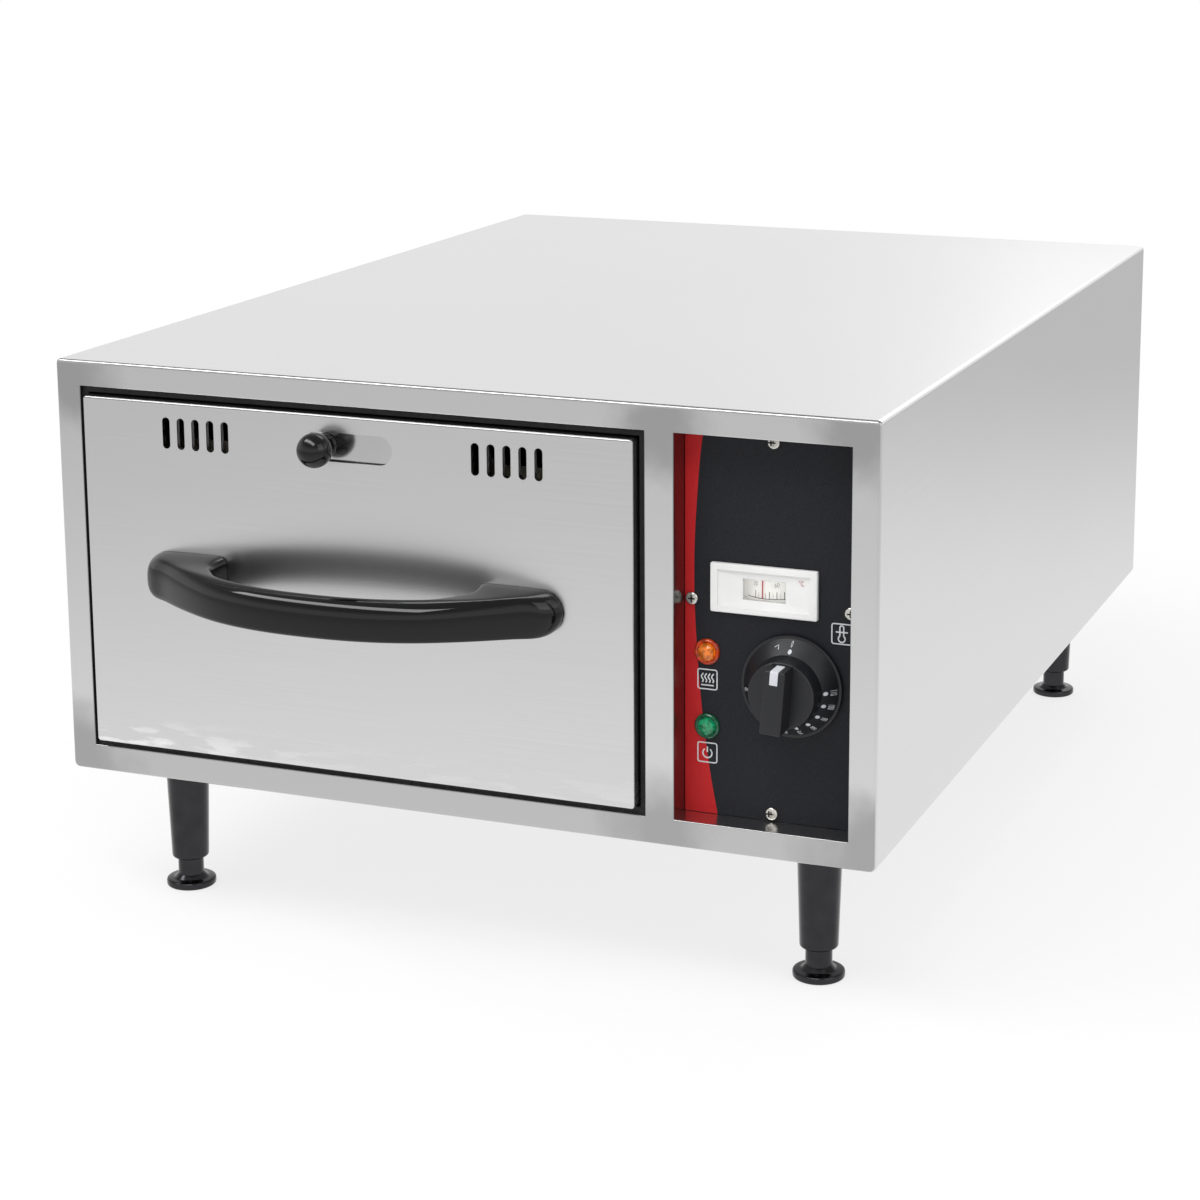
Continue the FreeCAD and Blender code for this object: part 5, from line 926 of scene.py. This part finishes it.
# ---------------------------------------------------------------- thermometer
class WARMER_OT_thermometer(bpy.types.Operator):
    """Moulds the thermometer's dished face and prints its drum scale"""
    bl_idname = "warmer.thermometer"
    bl_label = "Thermometer"

    def execute(self, context):
        s = context.scene.drawer_thermometer
        # ABS moulded in a polished tool: clean white with a soft sheen
        white = moulded_plastic("white ABS moulding", s.body, roughness=0.32, grain=0.0008, strength=0.04)
        paint_node(["thermometer_housing"], white)
        low, high = box_of("thermometer_housing")
        self.face(s, low, high, white)
        paint_node(["thermometer_pane"], self.pane())
        # coated card, printed and rolled round the drum
        paint_node(["thermometer_dial"], self.card(s.scale))
        self.figures(low, (low + high) / 2)
        # lacquer on thin sheet: flat and even
        paint_node(["thermometer_needle"], moulded_plastic("red lacquered pointer", s.pointer, 0.4))
        return {"FINISHED"}

    def face(self, s, low, high, white):
        """Rim, step, sunk face and four shallow slopes to the window, a hair in front of the housing."""
        hair = 0.05 * MM
        width, height, front = high.x - low.x + 2 * hair, high.z - low.z + 2 * hair, low.y - hair
        inner_w, inner_h = width - 2 * s.border, height - 2 * s.border * 0.85
        window_w, window_h = s.window_width - 2 * hair, s.window_height - 2 * hair
        middle = (low + high) / 2
        outlines = []
        for wide, tall, round_, depth in (
                (width, height, 1.2, box_of("panel_overlay")[0].y - front), (width, height, 1.2, 0.7 * MM),
                (width - 1.2 * MM, height - 1.2 * MM, 1.2, 0),
                (inner_w + 0.6 * MM, inner_h + 0.6 * MM, 0.8, 0.04 * MM),
                (inner_w, inner_h, 0.6, 0.35 * MM), (inner_w, inner_h, 0.6, s.sunk),
                (inner_w - 1.4 * MM, inner_h - 1.4 * MM, 0.4, s.sunk + 0.15 * MM),
                (window_w + 1.0 * MM, window_h + 1.0 * MM, 0.3, s.sunk + 0.7 * MM),
                (window_w, window_h, 0.3, s.sunk + 1.0 * MM), (window_w, window_h, 0.3, s.sunk + 4 * MM)):
            outline = rounded_outline(wide, tall, (round_ * MM,) * 4, steps=3)
            outlines.append([(middle.x + u - wide / 2, front + depth, middle.z + v) for u, v in outline])
        bm = bmesh.new()
        loft(bm, outlines)
        finish_piece(bm, "thermometer_face", "case", white, smooth=12)

    def pane(self):
        """Clear polystyrene window, nearly invisible but for its gloss."""
        material, tree, place = new_material("clear polystyrene pane")
        haze = add(tree, "TexNoise", {"Vector": place, "Scale": 120.0, "Detail": 3.0})
        gloss = add(tree, "MapRange", {0: haze, 1: 0.3, 2: 0.7, 3: 0.04, 4: 0.1})
        clear = add(tree, "BsdfTransparent", {0: (0.985, 0.985, 0.985)})
        shine = add(tree, "BsdfGlossy", {0: (1, 1, 1), 1: gloss})
        edge_on = add(tree, "Fresnel", {0: 1.2})
        mixed = add(tree, "MixShader", {0: edge_on, 1: clear, 2: shine})
        add(tree, "OutputMaterial", {"Surface": mixed})
        return material

    def card(self, colour):
        """White card with a painted glow: it emits a little light of its own, standing for the light that comes
        through the thin white housing.
        """
        material, tree, place = new_material("printed drum card with painted glow")
        fibres = add(tree, "TexNoise", {"Vector": place, "Scale": 1500.0, "Detail": 2.0})
        base = between(tree, fibres, scaled(colour, 0.95), colour)
        return with_surface(material, tree, {
            "Base Color": base, "Roughness": 0.6, "Emission Color": colour, "Emission Strength": 0.42})

    def figures(self, low, centre):
        """Ticks, base line and two figures on the drum; a small degree mark on the moulding."""
        dial_low, dial_high = box_of("thermometer_dial")
        radius = (dial_high.x - dial_low.x) / 2
        axis_y, level = dial_low.y + radius, (dial_low.z + dial_high.z) / 2
        black = printed_ink_or_shade("dark scale ink", linear("#58585A"))
        pale = printed_ink_or_shade("faint scale ink", linear("#B4B6B8"))
        base = level - 5.9 * MM
        bm = bmesh.new()
        marks = [(6.5 * tick - 21, *((4.4, 0.24) if tick % 2 else (5.3, 0.5))) for tick in range(9)]
        marks += [(2.18 * dash - 42, 0.5, 0.86) for dash in range(38)]
        for degrees, tall, wide in marks:
            self.on_drum(bm, centre.x, axis_y, radius, math.radians(degrees), base, tall * MM, wide * MM)
        finish_piece(bm, "scale_ticks", "case", black, smooth=0)
        bm = bmesh.new()
        for words, degrees in (("30", -21), ("60", 18)):
            angle = math.radians(degrees)
            out = radius + 0.08 * MM
            spot = Vector((centre.x + out * math.sin(angle), axis_y - out * math.cos(angle), level + 3.8 * MM))
            place = Matrix.Translation(spot) @ Matrix.Rotation(angle, 4, "Z") @ FACING_FRONT
            print_text(bm, words, 4.4 * MM, place, 0.8)
        finish_piece(bm, "scale_figures", "case", pale, smooth=0)
        red = printed_ink_or_shade("red degree mark", linear("#D08C90"))
        bm = bmesh.new()
        spot = Vector((centre.x + 25.6 * MM, low.y + 1.2 * MM, centre.z + 7.4 * MM))
        print_text(bm, "°C", 4.8 * MM, Matrix.Translation(spot) @ FACING_FRONT, 0.75)
        finish_piece(bm, "degree_mark", "case", red, smooth=0)

    def on_drum(self, bm, x, axis_y, radius, angle, bottom, tall, width):
        """Small printed block standing a hair off the drum."""
        verts = block(bm, (-width / 2, -0.06 * MM, 0), (width / 2, 0.02 * MM, tall))
        spot = Vector((x + radius * math.sin(angle), axis_y - radius * math.cos(angle), bottom))
        bmesh.ops.transform(bm, matrix=Matrix.Translation(spot) @ Matrix.Rotation(angle, 4, "Z"), verts=verts)


# ---------------------------------------------------------------- lamps
class WARMER_OT_lamps(bpy.types.Operator):
    """Moulds the amber and green lenses with their faceted reflectors"""
    bl_idname = "warmer.lamps"
    bl_label = "Lamps"

    def execute(self, context):
        s = context.scene.drawer_lamps
        for name, colour, rim, slot in (("amber_lamp", s.amber, s.amber_rim, "amber_lens"),
                                        ("green_lamp", s.green, s.green_rim, "green_lens")):
            self.lens(name, colour, rim, slot, s)
        return {"FINISHED"}

    def lens(self, name, colour, rim, slot, s):
        centre, r = seat_of(name), s.radius
        profile = [(0, 0), (r, 0), (r, 1.0 * MM), (r - 0.5 * MM, 1.9 * MM), (r - 1.4 * MM, 2.3 * MM),
                   (r - 2.0 * MM, 2.0 * MM), (r - 2.4 * MM, 1.6 * MM), (r - 2.7 * MM, 1.5 * MM)]
        finish_piece(lathe(profile, centre, "-Y", 56), name + "_rim", "case",
                     self.dyed(name + " rim", rim, 0.4), smooth=40, replaces=name)
        bm = bmesh.new()
        inner = r - 2.5 * MM
        outlines = []
        for number, (radius, rise) in enumerate(((inner, 1.5), (inner * 0.84, 3.5), (inner * 0.5, 4.9),
                                                 (inner * 0.2, 5.4))):
            turn = math.pi / s.facets * (number % 2)
            outlines.append([centre + Vector((radius * math.sin(angle), -rise * MM, radius * math.cos(angle)))
                             for angle in (math.tau * facet / s.facets + turn for facet in range(s.facets))])
        bmesh.ops.contextual_create(bm, geom=loft(bm, outlines))
        bmesh.ops.triangulate(bm, faces=bm.faces[:])
        finish_piece(bm, name + "_lens", "case", self.dyed(name + " lens", colour, 1.0), smooth=0)

    def dyed(self, name, colour, depth):
        """Transparent acrylic dyed through, with painted glints: random patches are painted brighter and
        darker, standing for the light that the facets throw back.
        """
        material, tree, place = new_material(name)
        painted_glints = add(tree, "TexNoise", {"Vector": place, "Scale": 300.0, "Detail": 2.0})
        base = between(tree, painted_glints, scaled(colour, 0.55), scaled(colour, 1.0 + 0.3 * depth), 0.4, 0.6)
        return with_surface(material, tree, {
            "Base Color": base, "Roughness": 0.1, "IOR": 1.49, "Subsurface Weight": 0.2,
            "Subsurface Radius": (0.003, 0.003, 0.003), "Coat Weight": 0.6, "Coat Roughness": 0.03})


# ---------------------------------------------------------------- thermostat knob
class WARMER_OT_knob(bpy.types.Operator):
    """Moulds the thermostat knob and prints its skirt"""
    bl_idname = "warmer.knob"
    bl_label = "Thermostat knob"

    def execute(self, context):
        s = context.scene.drawer_knob
        # nylon from a spark-eroded tool: fine grain, so only a soft sheen
        black = moulded_plastic("black nylon moulding", s.colour, roughness=0.42, grain=0.0009, strength=0.2)
        low, high = box_of("knob_skirt")
        centre = seat_of("knob_skirt")
        radius, thick = (high.x - low.x) / 2, high.y - low.y
        self.skirt(s, centre, radius, thick, black)
        self.grip(s, centre, thick, black)
        white = printed_ink_or_shade("white knob ink", s.mark)
        self.pointer(s, centre, thick, white)
        self.marks(s, centre, radius, thick, white)
        return {"FINISHED"}

    def skirt(self, s, centre, radius, thick, black):
        profile = [(3 * MM, 0), (radius - 0.4 * MM, 0), (radius - 0.1 * MM, 0.15 * MM), (radius, 0.4 * MM),
                   (radius, s.edge - 0.4 * MM), (radius - 0.1 * MM, s.edge - 0.12 * MM),
                   (radius - 0.4 * MM, s.edge), (radius - s.land, s.edge), (s.grip, thick), (3 * MM, thick)]
        finish_piece(lathe(profile, centre, "-Y", 96), "dial_skirt", "knob", black, smooth=30,
                     replaces="knob_skirt")

    def grip(self, s, centre, thick, black):
        """Tapered body with the finger bar across it."""
        floor, face = thick + s.body, s.grip - s.taper
        profile = [(3 * MM, thick), (s.grip, thick)]
        profile += arc_points(s.rounding, face - s.rounding, floor - s.rounding, 6, 90, 5) + [(3 * MM, floor)]
        bm = lathe(profile, centre, "-Y", 96)
        half, length, top = s.bar_width / 2, face - s.rounding, floor + s.bar
        verts = block(bm, centre + Vector((-half, -top, -length)), centre + Vector((half, -floor + MM, length)))
        edges = {edge for vert in verts for edge in vert.link_edges
                 if not all(v.co.y > centre.y - floor for v in edge.verts)}
        bmesh.ops.bevel(bm, geom=list(edges), offset=s.rounding, segments=4, profile=0.5, affect="EDGES",
                        material=-1)
        self.turn(bm, s, centre)
        finish_piece(bm, "dial_grip", "knob", black, smooth=32,
                     replaces="thermostat_knob")

    def turn(self, bm, s, centre):
        bmesh.ops.rotate(bm, verts=bm.verts, cent=centre, matrix=Matrix.Rotation(s.turned, 3, "Y"))

    def pointer(self, s, centre, thick, white):
        """White inlay near the bar's end, folded back over its rounded nose."""
        top, tip = thick + s.body + s.bar, s.grip - s.taper - s.rounding
        film, width = 0.12 * MM, s.pointer_width
        line = [(tip - s.pointer_length, top + film)]
        line += [(u, v) for u, v in arc_points(s.rounding + film, tip - s.rounding, top - s.rounding, 90, 0, 4)]
        line.append((tip + film, top - s.bar + 3 * MM))
        bm = bmesh.new()
        verts = [bm.verts.new(centre + Vector((-width / 2, -out, up))) for up, out in line]
        edges = [bm.edges.new(pair) for pair in zip(verts, verts[1:])]
        side = bmesh.ops.extrude_edge_only(bm, edges=edges)["geom"]
        bmesh.ops.translate(bm, vec=(width, 0, 0), verts=[g for g in side if isinstance(g, bmesh.types.BMVert)])
        bmesh.ops.recalc_face_normals(bm, faces=bm.faces)
        bmesh.ops.solidify(bm, geom=bm.faces[:], thickness=film)
        self.turn(bm, s, centre)
        finish_piece(bm, "dial_pointer", "knob", white, smooth=40,
                     replaces="knob_pointer")

    def marks(self, s, centre, radius, thick, white):
        """Figures and dots on the skirt's cone; angles run clockwise from the top."""
        rim = radius - s.land
        slope = math.atan2(thick - s.edge, rim - s.grip)

        def place(degrees, r):
            angle = math.radians(degrees)
            rise = s.edge + (rim - r) * math.tan(slope) + 0.05 * MM
            spot = centre + Vector((r * math.sin(angle), -rise, r * math.cos(angle)))
            return (Matrix.Translation(spot) @ Matrix.Rotation(angle, 4, "Y") @ Matrix.Rotation(-slope, 4, "X")
                    @ FACING_FRONT)
        values = [("0", 3.0)]
        highest_at = 89.2
        for step in range((s.highest - s.lowest) // 10 + 1):
            values.append((str(s.highest - 10 * step), highest_at + math.degrees(s.step) * step))
        bm = bmesh.new()
        figure_ring, dot_ring, arrow_ring = 29.8 * MM, 25.9 * MM, 28.6 * MM
        for words, degrees in values:
            print_text(bm, words, 7.2 * MM, place(degrees, figure_ring), 0.37)
            bmesh.ops.create_circle(bm, cap_ends=True, segments=20, radius=1.3 * MM,
                                    matrix=place(degrees, dot_ring) @ Matrix.Diagonal((1, 1.45, 1, 1)))
        arrow = [[(-2.1 * MM, 0.4 * MM), (0.6 * MM, 1.5 * MM), (0.5 * MM, -1.9 * MM)]]
        print_lines(bm, arrow, 0.6 * MM, place(-16.0, arrow_ring))
        finish_piece(bm, "dial_marks", "knob", white, smooth=0)


# ---------------------------------------------------------------- panel in the sidebar
class WARMER_PT_panel(bpy.types.Panel):
    """Lists the pieces and their settings"""
    bl_idname = "WARMER_PT_panel"
    bl_label = "Warming Drawer"
    bl_space_type = "VIEW_3D"
    bl_region_type = "UI"
    bl_category = "Warming Drawer"

    def draw(self, context):
        for operator in OPERATORS:
            self.layout.operator(operator.bl_idname)
        for name, group in SETTINGS.items():
            column = self.layout.column(align=True)
            column.label(text=group.__name__.replace("Settings", ""))
            for key in group.__annotations__:
                column.prop(getattr(context.scene, name), key)


OPERATORS = (WARMER_OT_stage, WARMER_OT_sheet_metal, WARMER_OT_inner_finishes, WARMER_OT_handle,
             WARMER_OT_damper_knob, WARMER_OT_legs, WARMER_OT_panel_print, WARMER_OT_thermometer,
             WARMER_OT_lamps, WARMER_OT_knob)


def register():
    for name, group in SETTINGS.items():
        bpy.utils.register_class(group)
        setattr(bpy.types.Scene, name, PointerProperty(type=group))
    for operator in OPERATORS:
        bpy.utils.register_class(operator)
    bpy.utils.register_class(WARMER_PT_panel)


def unregister():
    bpy.utils.unregister_class(WARMER_PT_panel)
    for operator in reversed(OPERATORS):
        bpy.utils.unregister_class(operator)
    for name, group in reversed(list(SETTINGS.items())):
        delattr(bpy.types.Scene, name)
        bpy.utils.unregister_class(group)


def main():
    register()
    for operator in OPERATORS:
        group, name = operator.bl_idname.split(".")
        getattr(getattr(bpy.ops, group), name)()


if __name__ == "__main__":
    main()
